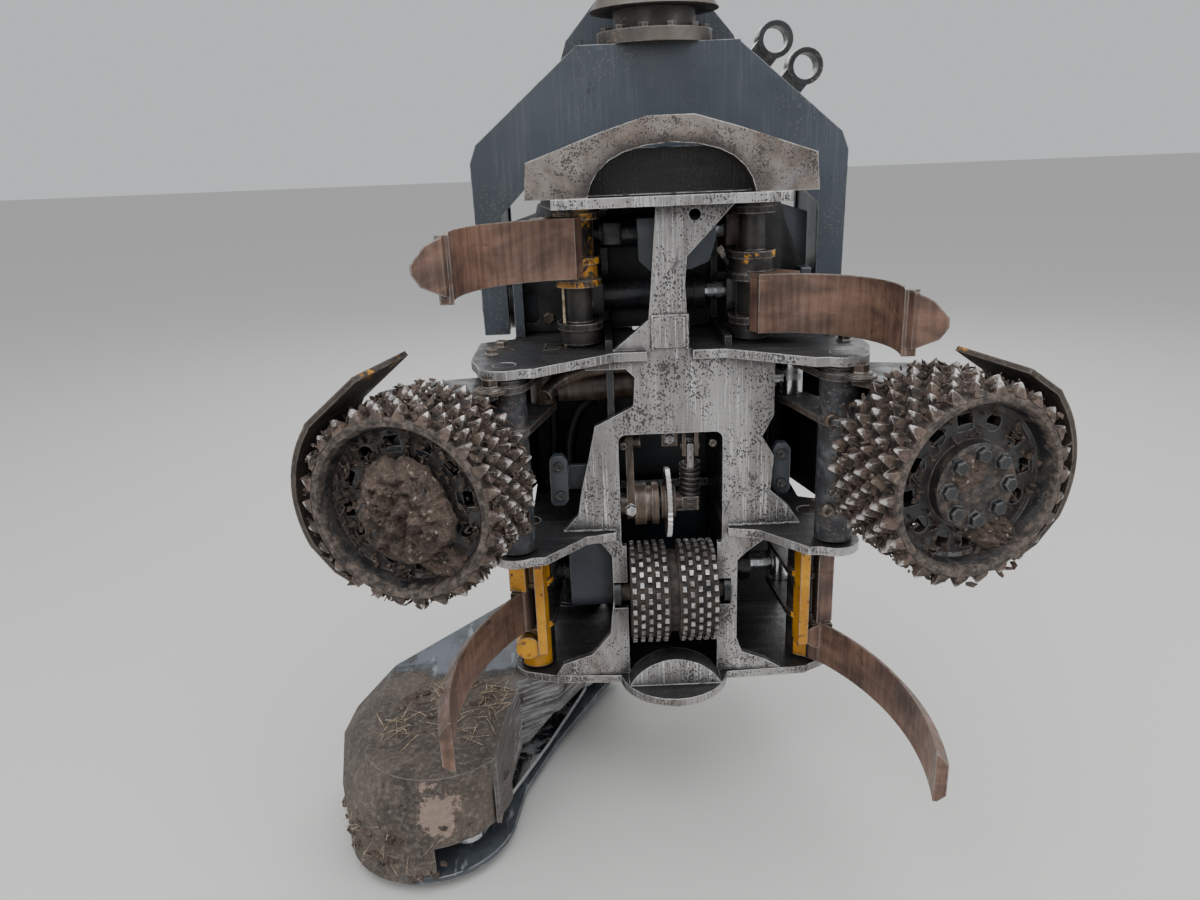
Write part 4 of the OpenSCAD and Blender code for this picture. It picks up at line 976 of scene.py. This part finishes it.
def feed_roller(word, side, seed):
    body = "feed_roller_" + word
    drum_radius, drum_end, dish_floor, hub_face, hole_circle = 0.163, 0.095, 0.058, 0.084, 0.108
    place = Matrix.Translation((0.46 * side, -0.545, -1.08)) @ Matrix.Rotation(math.radians(15 * side), 4,
            "Z") @ Matrix.Rotation(math.radians(90), 4, "X")
    profile = [(0, hub_face), (0.072, hub_face), (0.076, 0.081), (0.076, 0.058), (0.131, 0.056), (0.137, 0.06),
               (0.147, 0.092), (0.15, 0.095), (0.159, 0.095), (drum_radius, 0.091), (drum_radius, -drum_end),
               (0.144, -drum_end), (0.144, 0.04), (0, 0.04)]
    holes = []
    for i in range(12):
        angle = math.radians(30 * i + 8)
        if i % 3 == 0:
            corners, half = (45, 135, 225, 315), 0.0205
        else:
            corners, half = range(0, 360, 15), 0.0150
        holes.append([(hole_circle * math.cos(angle) + half * math.cos(angle + math.radians(a)),
                       hole_circle * math.sin(angle) + half * math.sin(angle + math.radians(a))) for a in corners])
    shell = piece("roller_drum_" + word, cut(turned(profile, 96, "drum"), prism(holes, 0.02, 0.09, "holes")), body,
                  roller_black_finish, place)
    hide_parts("feed_roller_" + word)
    ring_count, ring_pitch = 7, 2 * drum_end / 7
    spikes = grown(rings_of_copies, copy=spike_blank, rings=ring_count, count=26, radius=drum_radius,
                   start=-drum_end + ring_pitch / 2, pitch=ring_pitch, stagger=0.5, lean=0.07, outward=1.0, seed=seed,
                   finish=spike_finish)
    piece("roller_spikes_" + word, spikes, body, None, place)
    bolts = grown(rings_of_copies, copy=bolt_blank, rings=1, count=8, radius=0.058, start=hub_face, outward=0.0,
                  seed=seed, finish=oily_black_finish)
    piece("roller_bolts_" + word, bolts, body, None, place)
    # The left hub is packed over; on the right only a patch is left. Both dish rims hold a crust.
    heap = bark_heap(0.092, 0.036, seed) if side < 0 else bark_heap(0.034, 0.012, seed)
    heap.transform(Matrix.Translation((0.006, -0.006, 0.081) if side < 0 else (-0.022, 0.030, 0.083)))
    piece("roller_bark_" + word, heap, body, bark_finish, place)
    crust = bark_heap(0.060, 0.016, seed + 3)
    crust.transform(Matrix.Translation((0.052, -0.096, 0.062)) @ Matrix.Rotation(-0.5, 4,
            "Z") @ Matrix.Diagonal((1.2, 0.55, 1.0, 1.0)))
    piece("roller_crust_" + word, crust, body, bark_finish, place)
    litter = grown(litter_on_drum, copy=chip_blank, count=1500 if side < 0 else 1000, inner=drum_radius, outer=0.181,
                   low=-0.092, high=0.09, seed=seed, finish=bark_finish)
    piece("roller_litter_" + word, litter, body, None, place)
    crumbs = grown(litter_on_drum, copy=chip_blank, count=260 if side < 0 else 120, inner=0.086, outer=0.14,
                   low=dish_floor, high=0.064, seed=seed + 7, finish=bark_finish)
    piece("roller_crumbs_" + word, crumbs, body, None, place)


def roller_black():
    here = place_of()
    colour = over(span(cloud(here, 9, 5, 0.6), 0.35, 0.68), (0.007, 0.008, 0.011), (0.024, 0.025, 0.028))
    dust = span(cloud(here, 32, 8, 0.72, 0.7), 0.48, 0.66)
    colour = over(times(dust, 0.7), colour, (0.075, 0.055, 0.042))
    # Bark crusts the rim and whatever lies beyond the dish, right or left
    x, y, z = axes()
    mirrored = put("ShaderNodeCombineXYZ", {0: sums("ABSOLUTE", x), 1: y, 2: z}).outputs[0]
    deep = vector_of("DOT_PRODUCT", mirrored, (math.sin(math.radians(15)), -math.cos(math.radians(15)), 0))
    rim = span(ragged(minus(deep, 0.6455), 0.01, 60), 0.074, 0.088)
    crust = over(span(cloud(here, 75, 7, 0.75), 0.38, 0.66), (0.018, 0.014, 0.012), (0.15, 0.115, 0.092))
    colour = over(times(rim, 0.92), colour, crust)
    # Corner dirt and painted shade: darker in corners and recesses
    dirt_and_shade = mask(corner_dirt, reach=0.04, amount=0.6)
    colour = over(dirt_and_shade, colour, (0.04, 0.03, 0.024))
    worn = mask(edge_wear, width=0.003, amount=0.8)
    worn = times(worn, minus(1, times(rim, 0.6)))
    colour = over(worn, colour, (0.3, 0.285, 0.275))
    rough = plus(span(cloud(here, 20, 4, 0.6), 0.3, 0.7, 0.25, 0.45), times(most(dust, rim), 0.38))
    return coat(colour, rough, times(most(dust, rim), cloud(here, 70, 6, 0.7)), 0.7, 0.003, times(worn, 0.8))


roller_black_finish = finish_of("roller_black", roller_black)
feed_roller("left", -1, 4)
feed_roller("right", 1, 9)

# Plates of the bays
# Flame-cut plates welded between the top plate and the upper shelf, behind the front
# knives' cylinders, a baffle in each arm bay, and a slate bracket behind the centre bar.


def bevelled(mesh, width, segments=2):
    blank = loose(mesh)
    edge = blank.modifiers.new("edges", "BEVEL")
    edge.width = width
    edge.segments = segments
    edge.limit_method = "ANGLE"
    return settled(blank)


def upright(outline, front, thick, name="plate", width=0.0015, holes=None):
    """A standing plate with that outline in X and Z, from front back by thick, its edges broken."""
    mesh = prism(outline, -front - thick, -front, name)
    if holes:
        mesh = cut(mesh, prism(holes, -front - thick - 0.01, -front + 0.01, "holes"))
    mesh.transform(Matrix.Rotation(math.radians(90), 4, "X"))
    return bevelled(mesh, width)


def oblong(x0, z0, x1, z1, r, steps=6):
    """A rounded rectangle's outline."""
    points = []
    for cx, cz, start in ((x1 - r, z1 - r, 0), (x0 + r, z1 - r, 90), (x0 + r, z0 + r, 180), (x1 - r, z0 + r, 270)):
        for k in range(steps + 1):
            angle = math.radians(start + 90 * k / steps)
            points.append((cx + r * math.cos(angle), cz + r * math.sin(angle)))
    return points


def joined(name, *meshes):
    made = bmesh.new()
    for mesh in meshes:
        made.from_mesh(mesh)
        bpy.data.meshes.remove(mesh)
    return meshed(made, name)


for word, side in (("left", -1), ("right", 1)):
    flank = [(0.19 * side, -0.626), (0.24 * side, -0.626), (0.258 * side, -0.652), (0.312 * side, -0.788),
             (0.316 * side, -0.81), (0.316 * side, -0.903), (0.19 * side, -0.903)]
    hole = oblong(-0.302, -0.884, -0.266, -0.812, 0.016) if side < 0 else oblong(0.262, -0.832, 0.304, -0.790, 0.0205)
    piece("side_plate_" + word, upright(flank, -0.052, 0.010, holes=[hole]), "head", bay_finish)
    wing = [(0.2 * side, -0.63), (0.256 * side, -0.63), (0.262 * side, -0.65), (0.318 * side, -0.668),
            (0.318 * side, -0.903), (0.2 * side, -0.903)]
    piece("wing_plate_" + word, upright(wing, -0.040, 0.008), "head", blue_enamel_finish)
    # A baffle from the arm bay's cover forward and outward, behind the feed arm's hub
    plan = [(0.299 * side, 0.052), (0.345 * side, -0.118), (0.339 * side, -0.120), (0.292 * side, 0.050)]
    piece("baffle_" + word, bevelled(prism(plan, -1.2895, -0.9235, "baffle"), 0.0015), "head", bay_finish)
piece("middle_cover", upright([(-0.1125, -0.6245), (0.1125, -0.6245), (0.1125, -0.904), (-0.1125, -0.904)], -0.03,
                              0.006), "head", bay_finish)
piece("passage_cover", upright([(-0.107, -0.858), (0.107, -0.858), (0.107, -0.8985), (-0.107, -0.8985)], -0.057,
                               0.005), "head", bay_finish)
behind = [(-0.056, -0.655), (-0.054, -0.738), (-0.03, -0.76), (0.05, -0.758), (0.086, -0.744), (0.1, -0.7),
          (0.1, -0.655)]
stub = [(-0.018, -0.680), (-0.018, -0.720), (0.020, -0.720), (0.020, -0.680)]
piece("bar_bracket", joined("bar_bracket", upright(behind, -0.214, 0.01, width=0.003), upright(stub, -0.258, 0.046)),
      "head", blue_enamel_finish)
piece("bar_pad", upright(oblong(-0.031, -0.902, 0.034, -0.84, 0.006), -0.2745, 0.006, width=0.002), "head",
      bare_steel_finish)

# Stop blocks
# Bevelled slate-painted blocks beside the middle of the face plate that the feed arms
# come to rest against, each bolted to a bracket from the web behind it.

for word, side, top in (("left", -1, -1.127), ("right", 1, -1.118)):
    near, far = 0.214, 0.252
    outline = [(far * side, top - 0.012), ((far - 0.01) * side, top), ((near + 0.01) * side, top),
               (near * side, top - 0.014), (near * side, top - 0.098), ((near + 0.009) * side, top - 0.112),
               ((far - 0.006) * side, top - 0.112), (far * side, top - 0.104)]
    arm = [(0.125 * side, top - 0.03), (0.246 * side, top - 0.03), (0.246 * side, top - 0.084),
           (0.125 * side, top - 0.084)]
    piece("stop_block_" + word, joined("stop_block", upright(outline, -0.25, 0.026, width=0.003),
                                       upright(arm, -0.226, 0.014)), "head", blue_enamel_finish)

# Screws and bolts
# Hexagon bolts with washers on the feed arms' pins and frame, and socket screws in the
# cylinders' port blocks and in the measuring window.


def build_copies():
    # One copy on each given place, turned alike, with a random spin about its own axis
    given = growth("copies_at_places", {"Places": ("Geometry", None), "Copy": ("Object", None),
                                        "Turn": ("Vector", (0, 0, 0)), "Tumble": ("Float", 0.0),
                                        "Spin": ("Float", 3.14), "Least": ("Float", 1.0), "Most": ("Float", 1.0),
                                        "Seed": ("Int", 1), "Finish": ("Material", None)})
    back = times(given["Tumble"], -1)
    own = put("ShaderNodeCombineXYZ", {0: chance(given, back, given["Tumble"], 3),
                                       1: chance(given, back, given["Tumble"], 5),
                                       2: chance(given, 0.0, given["Spin"], 7)}).outputs[0]
    turn = put("FunctionNodeRotateRotation", {0: given["Turn"], 1: own}, rotation_space="LOCAL").outputs[0]
    points = put("GeometryNodeMeshToPoints", {"Mesh": given["Places"]}).outputs[0]
    return finish_growth(points, turn, chance(given, given["Least"], given["Most"], 11), given)


copies_at_places = build_copies()
to_log = (math.radians(90), 0, 0)
screw_blank = loose(turned([(0, 0.003), (0.0062, 0.003), (0.007, 0.0085), (0.0118, 0.0085), (0.0135, 0.007),
                            (0.0135, -0.004), (0, -0.004)], 24, "socket_screw"), "screw_blank")
stack_blank = loose(joined("washer_bolt", turned([(0, 0.004), (0.03, 0.004), (0.032, 0.0025), (0.032, -0.003),
                                                  (0, -0.003)], 32, "washer"),
                           turned([(0, 0.009), (0.022, 0.009), (0.024, 0.0075), (0.024, 0.002), (0, 0.002)], 32,
                                  "washer"), turned([(0, 0.027), (0.01, 0.027), (0.0165, 0.024), (0.0165, 0.0085),
                                                     (0, 0.0085)], 6, "head")), "stack_blank")


def screws(name, places, body, turn=to_log, blank=screw_blank, finish=greasy_brown_finish, size=1.0, seed=2):
    mesh = grown(copies_at_places, places, copy=blank, turn=turn, least=size, most=size, seed=seed, finish=finish)
    return piece(name, mesh, body)


screws("arm_bolt_left", [(-0.345, -0.390, -0.944)], "feed_arm_left", (0, 0, 0), stack_blank)
screws("arm_bolt_right", [(0.345, -0.390, -0.944)], "feed_arm_right", (0, 0, 0), stack_blank)
screws("hub_screw_left", [(-0.298, -0.382, -1.068), (-0.298, -0.382, -1.225)], "feed_arm_left")
screws("hub_screw_right", [(0.298, -0.382, -1.031), (0.298, -0.382, -1.215)], "feed_arm_right")
screws("side_plate_bolts", [(-0.245, -0.049, -0.872), (0.236, -0.049, -0.872), (-0.292, -0.049, -0.772)], "head",
       blank=bolt_blank)
screws("stop_block_screws", [(-0.233, -0.249, -1.15), (-0.233, -0.249, -1.215), (0.233, -0.249, -1.141),
                             (0.233, -0.249, -1.206)], "head", size=0.75, finish=oily_black_finish)
screws("shelf_bolts", [(-0.352, -0.25, -0.905), (0.352, -0.25, -0.905), (-0.34, -0.185, -0.905),
                       (0.34, -0.185, -0.905), (-0.33, -0.175, -1.29), (0.33, -0.175, -1.29)], "head", (0, 0, 0),
       bolt_blank)
screws("top_pin_bolts", [(-0.175, -0.190, -0.605), (0.175, -0.190, -0.605)], "head", (0, 0, 0), stack_blank)
screws("back_plate_bolts", [(x, 0.0745, z) for x in (-0.132, 0.132) for z in (-1.12, -1.22, -1.32)], "head",
       (math.radians(-90), 0, 0), bolt_blank)

# Port blocks
# Square steel blocks on the ends of the front knives' cylinders that take the oil hoses,
# three of them closed by a socket plug.

for name, body, x0, x1, z0, z1, plug in (
        ("lower_left_port", "front_barrels", -0.203, -0.124, -0.852, -0.788, (-0.159, -0.830)),
        ("upper_left_port", "front_knife_left", -0.122, -0.084, -0.712, -0.666, (-0.103, -0.688)),
        ("upper_right_port", "front_rods", 0.128, 0.198, -0.722, -0.658, (0.166, -0.688)),
        ("lower_right_port", "front_rods", 0.130, 0.196, -0.852, -0.788, (0.163, -0.818))):
    box = upright([(x0, z0), (x1, z0), (x1, z1), (x0, z1)], -0.149, 0.038, width=0.004)
    piece(name, box, body, greasy_brown_finish if "upper_right" in name else oily_black_finish)
    # The block on the knife's lever has no room for a plug when the knife closes
    if body != "front_knife_left":
        screws(name + "_plug", [(plug[0], -0.148, plug[1])], body)

# Pipes and hoses of the head
# Bent steel pipes and short rubber hoses between the valve block and the bays. A glossy
# brown pipe runs out of the left bay beside the feed arm.


def build_pipe():
    # A round skin along a path, with closed ends
    given = growth("pipe_along_path", {"Path": ("Object", None), "Radius": ("Float", 0.008), "Steps": ("Int", 14),
                                       "Finish": ("Material", None)})
    path = put("GeometryNodeObjectInfo", {"Object": given["Path"]}).outputs["Geometry"]
    ring = put("GeometryNodeCurvePrimitiveCircle", {"Resolution": given["Steps"], "Radius": given["Radius"]})
    skin = put("GeometryNodeCurveToMesh", {"Curve": path, "Profile Curve": ring.outputs[0],
                                           "Fill Caps": True}).outputs[0]
    return finished(skin, given)


pipe_along_path = build_pipe()


def pipe_mesh(points, radius, finish, smooth=True, steps=14):
    curve = bpy.data.curves.new("path", "CURVE")
    curve.dimensions = "3D"
    curve.resolution_u = 6
    spline = curve.splines.new("BEZIER" if smooth else "POLY")
    if smooth:
        spline.bezier_points.add(len(points) - 1)
        for knot, point in zip(spline.bezier_points, points):
            knot.co = point
            knot.handle_left_type = knot.handle_right_type = "AUTO"
    else:
        spline.points.add(len(points) - 1)
        for knot, point in zip(spline.points, points):
            knot.co = (*point, 1.0)
    path = bpy.data.objects.new("path", curve)
    bpy.context.scene.collection.objects.link(path)
    mesh = grown(pipe_along_path, path=path, radius=radius, steps=steps, finish=finish)
    bpy.data.objects.remove(path)
    made = bmesh.new()
    made.from_mesh(mesh)
    bmesh.ops.recalc_face_normals(made, faces=made.faces)
    made.to_mesh(mesh)
    made.free()
    return mesh


def rubber():
    here = place_of()
    colour = over(span(cloud(here, 30, 5, 0.6), 0.35, 0.7), (0.008, 0.008, 0.009), (0.026, 0.025, 0.025))
    dust = span(cloud(here, 14, 7, 0.7), 0.52, 0.7)
    colour = over(times(dust, 0.6), colour, (0.085, 0.068, 0.054))
    return coat(colour, span(dust, 0, 1, 0.42, 0.8), cloud(here, 260, 3, 0.6), 0.3, 0.002)


rubber_finish = finish_of("hose_rubber", rubber)
piece("arm_bay_pipe", pipe_mesh([(-0.05, -0.236, -0.944), (-0.105, -0.239, -0.942), (-0.16, -0.252, -0.945),
                                 (-0.206, -0.278, -0.952), (-0.236, -0.306, -0.964), (-0.248, -0.324, -0.976)],
                                0.0145, greasy_brown_finish, steps=20), "head")
runs = {"left_bay_hoses": [([(-0.13, -0.01, -0.7), (-0.17, -0.014, -0.716), (-0.206, -0.018, -0.76),
                             (-0.222, -0.014, -0.83), (-0.236, -0.004, -0.903)], 0.0105),
                           ([(-0.13, -0.008, -0.752), (-0.158, -0.012, -0.79), (-0.166, -0.01, -0.85),
                             (-0.168, 0.0, -0.903)], 0.009)], "right_bay_hoses": [([(0.13, -0.01, -0.69),
        (0.176, -0.016, -0.706), (0.214, -0.018, -0.77), (0.224, -0.01, -0.903)], 0.0105),
        ([(0.13, -0.008, -0.745), (0.164, -0.014, -0.8), (0.172, -0.004, -0.903)], 0.009)],
        "left_arm_hoses": [([(-0.13, -0.02, -1.06), (-0.176, -0.032, -1.08), (-0.206, -0.04, -1.14),
                             (-0.214, -0.03, -1.22), (-0.226, -0.01, -1.288)], 0.012),
                           ([(-0.262, 0.03, -0.926), (-0.258, 0.02, -1.0), (-0.25, 0.016, -1.12),
                             (-0.262, 0.018, -1.288)], 0.01)], "right_arm_hoses": [([(0.13, -0.02, -1.05),
        (0.182, -0.034, -1.082), (0.212, -0.04, -1.15), (0.216, -0.02, -1.288)], 0.012),
        ([(0.256, 0.03, -0.926), (0.262, 0.018, -1.04), (0.252, 0.016, -1.16), (0.258, 0.02, -1.288)], 0.01)],
        "valve_hoses": [([(-0.084, 0.13, -1.05), (-0.084, 0.13, -1.02), (-0.092, 0.118, -0.99),
                          (-0.104, 0.09, -0.972), (-0.11, 0.066, -0.965)], 0.01),
                        ([(-0.042, 0.13, -1.05), (-0.047, 0.133, -1.034), (-0.066, 0.134, -1.026),
                          (-0.102, 0.122, -1.022), (-0.136, 0.084, -1.016), (-0.146, 0.056, -1.014)], 0.009),
                        ([(0.084, 0.13, -1.05), (0.084, 0.13, -1.02), (0.092, 0.118, -0.99), (0.104, 0.09, -0.972),
                          (0.11, 0.066, -0.965)], 0.01), ([(0.042, 0.13, -1.05), (0.047, 0.133, -1.034),
                                                           (0.066, 0.134, -1.026), (0.102, 0.122, -1.022),
                                                           (0.138, 0.084, -1.016), (0.148, 0.056, -1.014)], 0.009),
                        ([(-0.073, 0.208, -1.262), (-0.073, 0.218, -1.3), (-0.09, 0.206, -1.35), (-0.13, 0.16, -1.42),
                          (-0.17, 0.12, -1.5), (-0.2, 0.1, -1.56)], 0.011),
                        ([(-0.025, 0.208, -1.262), (-0.025, 0.22, -1.305), (-0.045, 0.206, -1.37),
                          (-0.1, 0.16, -1.46), (-0.17, 0.13, -1.545)], 0.011),
                        ([(0.071, 0.208, -1.262), (0.071, 0.218, -1.3), (0.1, 0.2, -1.35), (0.15, 0.16, -1.4),
                          (0.17, 0.13, -1.4405)], 0.011)]}
for name, lines in runs.items():
    piece(name, joined(name, *[pipe_mesh(points, radius, rubber_finish) for points, radius in lines]), "head",
          rubber_finish)
    for mesh_end in (0, -1):
        nuts = []
        for points, radius in lines:
            here, inner = Vector(points[mesh_end]), Vector(points[1 if mesh_end == 0 else -2])
            nut = turned([(0, 0.022), (radius * 1.3, 0.022), (radius * 1.38, 0.019), (radius * 1.38, 0.01),
                          (radius * 1.75, 0.009), (radius * 1.75, -0.004), (0, -0.004)], 6, "nut")
            nut.transform(Matrix.Translation(here) @ (inner - here).to_track_quat("Z", "Y").to_matrix().to_4x4())
            nuts.append(nut)
        piece("%s_nuts_%d" % (name, mesh_end + 1), joined("nuts", *nuts), "head", greasy_brown_finish)

# Measuring unit
# The wheel's arm is pressed down by a coil spring in a clevis; bolts and socket screws
# hold its bracket in the window.


def ring_of_wire():
    return [(0.043 + 0.0205 * math.cos(t * math.pi / 8), -0.225 + 0.0205 * math.sin(t * math.pi / 8),
             -1.16 - 0.102 * t / 144) for t in range(145)]


piece("measuring_spring", pipe_mesh(ring_of_wire(), 0.0032, oily_black_finish, smooth=False, steps=8), "head")
piece("clevis_link", upright(oblong(0.0355, -1.172, 0.0505, -1.112, 0.005), -0.246, 0.02, width=0.002), "head",
      bare_steel_finish)
screws("window_bolts", [(-0.084, -0.272, -1.244)], "head", blank=bolt_blank, finish=bare_steel_finish, size=0.9)
screws("window_screws", [(-0.097, -0.2505, -1.1095), (0.089, -0.2505, -1.1095)], "head", size=0.62)
piece("bracket_tab", upright([(-0.017, -1.117), (0.017, -1.117), (0.017, -1.08), (-0.017, -1.08)], -0.244, 0.012,
                             width=0.002), "head", greasy_brown_finish)
screws("bracket_bolt", [(0.0, -0.243, -1.099)], "head", blank=bolt_blank, finish=bare_steel_finish, size=0.8)

# Weld beads
# Run by hand where the plates meet: round the pad of the centre bar, along the shelves'
# joints with the face plate, and under the top plate.


def bead(points):
    mesh = pipe_mesh(points, 0.0035, bead_finish, smooth=False, steps=8)
    for vertex in mesh.vertices:
        vertex.co += 0.0016 * Vector(noise.noise_vector(vertex.co * 170.0))
    return mesh


def stepped(points, step=0.004):
    """The same path with points close enough together to carry a bead's ripples."""
    path = [Vector(points[0])]
    for one, two in zip(points, points[1:]):
        one, two = Vector(one), Vector(two)
        count = max(1, round((two - one).length / step))
        path += [one.lerp(two, k / count) for k in range(1, count + 1)]
    return path


# A fixed seed, since the clock would ripple the beads anew in each run
noise.seed_set(3)
bead_finish = finish_of("weld_bead", lambda: bare_steel(True))
beads = [[(-0.033, -0.272, -0.904), (-0.033, -0.272, -0.838), (0.036, -0.272, -0.838), (0.036, -0.272, -0.904)],
         [(-0.205, -0.269, -0.9245), (-0.09, -0.269, -0.9245)], [(0.047, -0.269, -0.9245), (0.208, -0.269, -0.9245)],
         [(-0.022, -0.269, -0.6265), (0.128, -0.269, -0.6265)], [(-0.226, -0.269, -1.289), (-0.12, -0.269, -1.289)],
         [(0.12, -0.269, -1.289), (0.268, -0.269, -1.289)]]
piece("frame_beads", joined("frame_beads", *[bead(stepped(points)) for points in beads]), "head", bead_finish)

# Litter of the forest
# Straw and needles caught in the mud of the saw box and on the shelves, clods on its
# nose, a splinter standing in the left bay, and a wad of fibre on the left rear knife.


def straw_shape():
    # A stalk 60 mm long, bent twice
    made = bmesh.new()
    rows = []
    for k in range(7):
        t = k / 6
        x, z = 0.060 * (t - 0.5), 0.0012 * math.sin(t * 5.0)
        y = 0.0030 * math.sin(t * 2.4)
        r = 0.0009 * (1.0 - 0.5 * t)
        rows.append([made.verts.new((x, y + r * math.cos(a), z + r * math.sin(a))) for a in (0.5, 2.6, 4.7)])
    for one, two in zip(rows, rows[1:]):
        for i in range(3):
            made.faces.new((one[i], one[(i + 1) % 3], two[(i + 1) % 3], two[i]))
    made.faces.new(list(reversed(rows[0])))
    made.faces.new(rows[-1])
    bmesh.ops.recalc_face_normals(made, faces=made.faces)
    return meshed(made, "straw")


def clod_shape():
    made = bmesh.new()
    bmesh.ops.create_icosphere(made, subdivisions=3, radius=0.016)
    for vertex in made.verts:
        vertex.co *= 1.0 + 0.55 * noise.fractal(vertex.co * 60.0, 0.9, 2.1, 4)
        vertex.co.z *= 0.55
    return meshed(made, "clod")


def straw_colour():
    here = place_of()
    tone = cloud(here, 55, 3, 0.6)
    colour = over(span(tone, 0.35, 0.65), (0.16, 0.105, 0.062), (0.52, 0.42, 0.29))
    return coat(colour, span(tone, 0.3, 0.7, 0.55, 0.8), tone, 0.3, 0.0003)


straw_finish = finish_of("straw", straw_colour)
straw_blank = loose(straw_shape(), "straw_blank")
clod_blank = loose(clod_shape(), "clod_blank")
pick = random.Random(11)
nose_x, nose_y, box_roof, shelf_top, floor_top = -0.535, -0.410, -1.6575, -0.9035, -1.638
on_roof = []
for cx, cy, count, reach in ((-0.590, -0.430, 16, 0.050), (-0.551, -0.386, 12, 0.050), (-0.455, -0.415, 22, 0.060),
                             (-0.410, -0.345, 22, 0.045), (-0.400, -0.290, 12, 0.035), (-0.520, -0.300, 10, 0.080)):
    for _ in range(count):
        on_roof.append((cx + pick.uniform(-reach, reach), cy + pick.uniform(-reach, reach),
                        box_roof + pick.uniform(0, 0.004)))
on_wall = []
for _ in range(46):
    angle = math.radians(pick.gauss(-128, 16))
    on_wall.append((nose_x + 0.181 * math.cos(angle), nose_y + 0.181 * math.sin(angle), pick.uniform(-1.88, -1.765)))
on_shelves = [(pick.uniform(-0.36, -0.20), pick.uniform(-0.24, -0.10), shelf_top) for _ in range(9)]
on_shelves += [(pick.uniform(0.20, 0.36), pick.uniform(-0.24, -0.10), shelf_top) for _ in range(7)]
on_shelves += [(pick.uniform(-0.32, -0.15), pick.uniform(-0.22, -0.02), floor_top) for _ in range(8)]


def strewn(name, places, body, blank, finish, tumble, least, most, seed, turn=(0, 0, 0)):
    mesh = grown(copies_at_places, places, copy=blank, turn=turn, tumble=tumble, spin=6.28, least=least, most=most,
                 seed=seed, finish=finish)
    return piece(name, mesh, body)


strewn("roof_straw", on_roof, "head", straw_blank, straw_finish, 0.10, 0.4, 1.2, 3)
strewn("nose_straw", on_wall, "head", straw_blank, straw_finish, 0.9, 0.3, 0.9, 5, to_log)
strewn("shelf_straw", on_shelves, "head", straw_blank, straw_finish, 0.05, 0.3, 0.8, 7)
outer = min((v.co for v in bpy.data.objects["rear_knife_left"].data.vertices), key=lambda co: co.x - 0.1 * co.z)
wad = [(outer.x + 0.004 + pick.gauss(0, 0.006), outer.y + pick.gauss(0, 0.008),
        outer.z - 0.012 + pick.gauss(0, 0.011)) for _ in range(70)]
strewn("knife_wad", wad, "rear_knife_left", straw_blank, straw_finish, 1.5, 0.2, 0.7, 13)
clods = []
for _ in range(26):
    angle = math.radians(pick.gauss(-118, 22))
    clods.append((nose_x + 0.176 * math.cos(angle), nose_y + 0.176 * math.sin(angle), pick.uniform(-1.895, -1.76)))
for _ in range(18):
    clods.append((pick.uniform(-0.60, -0.40), pick.uniform(-0.45, -0.24), -1.659))
strewn("box_clods", clods, "head", clod_blank, bark_finish, 0.4, 0.35, 1.0, 9)
piece("bay_splinter", upright([(-0.209, -0.903), (-0.203, -0.903), (-0.2045, -0.735), (-0.2085, -0.735)], -0.212,
                              0.004, width=0.0008), "head", straw_finish)

for blank in (spike_blank, chip_blank, bolt_blank, screw_blank, stack_blank, straw_blank, clod_blank):
    bpy.data.objects.remove(blank)
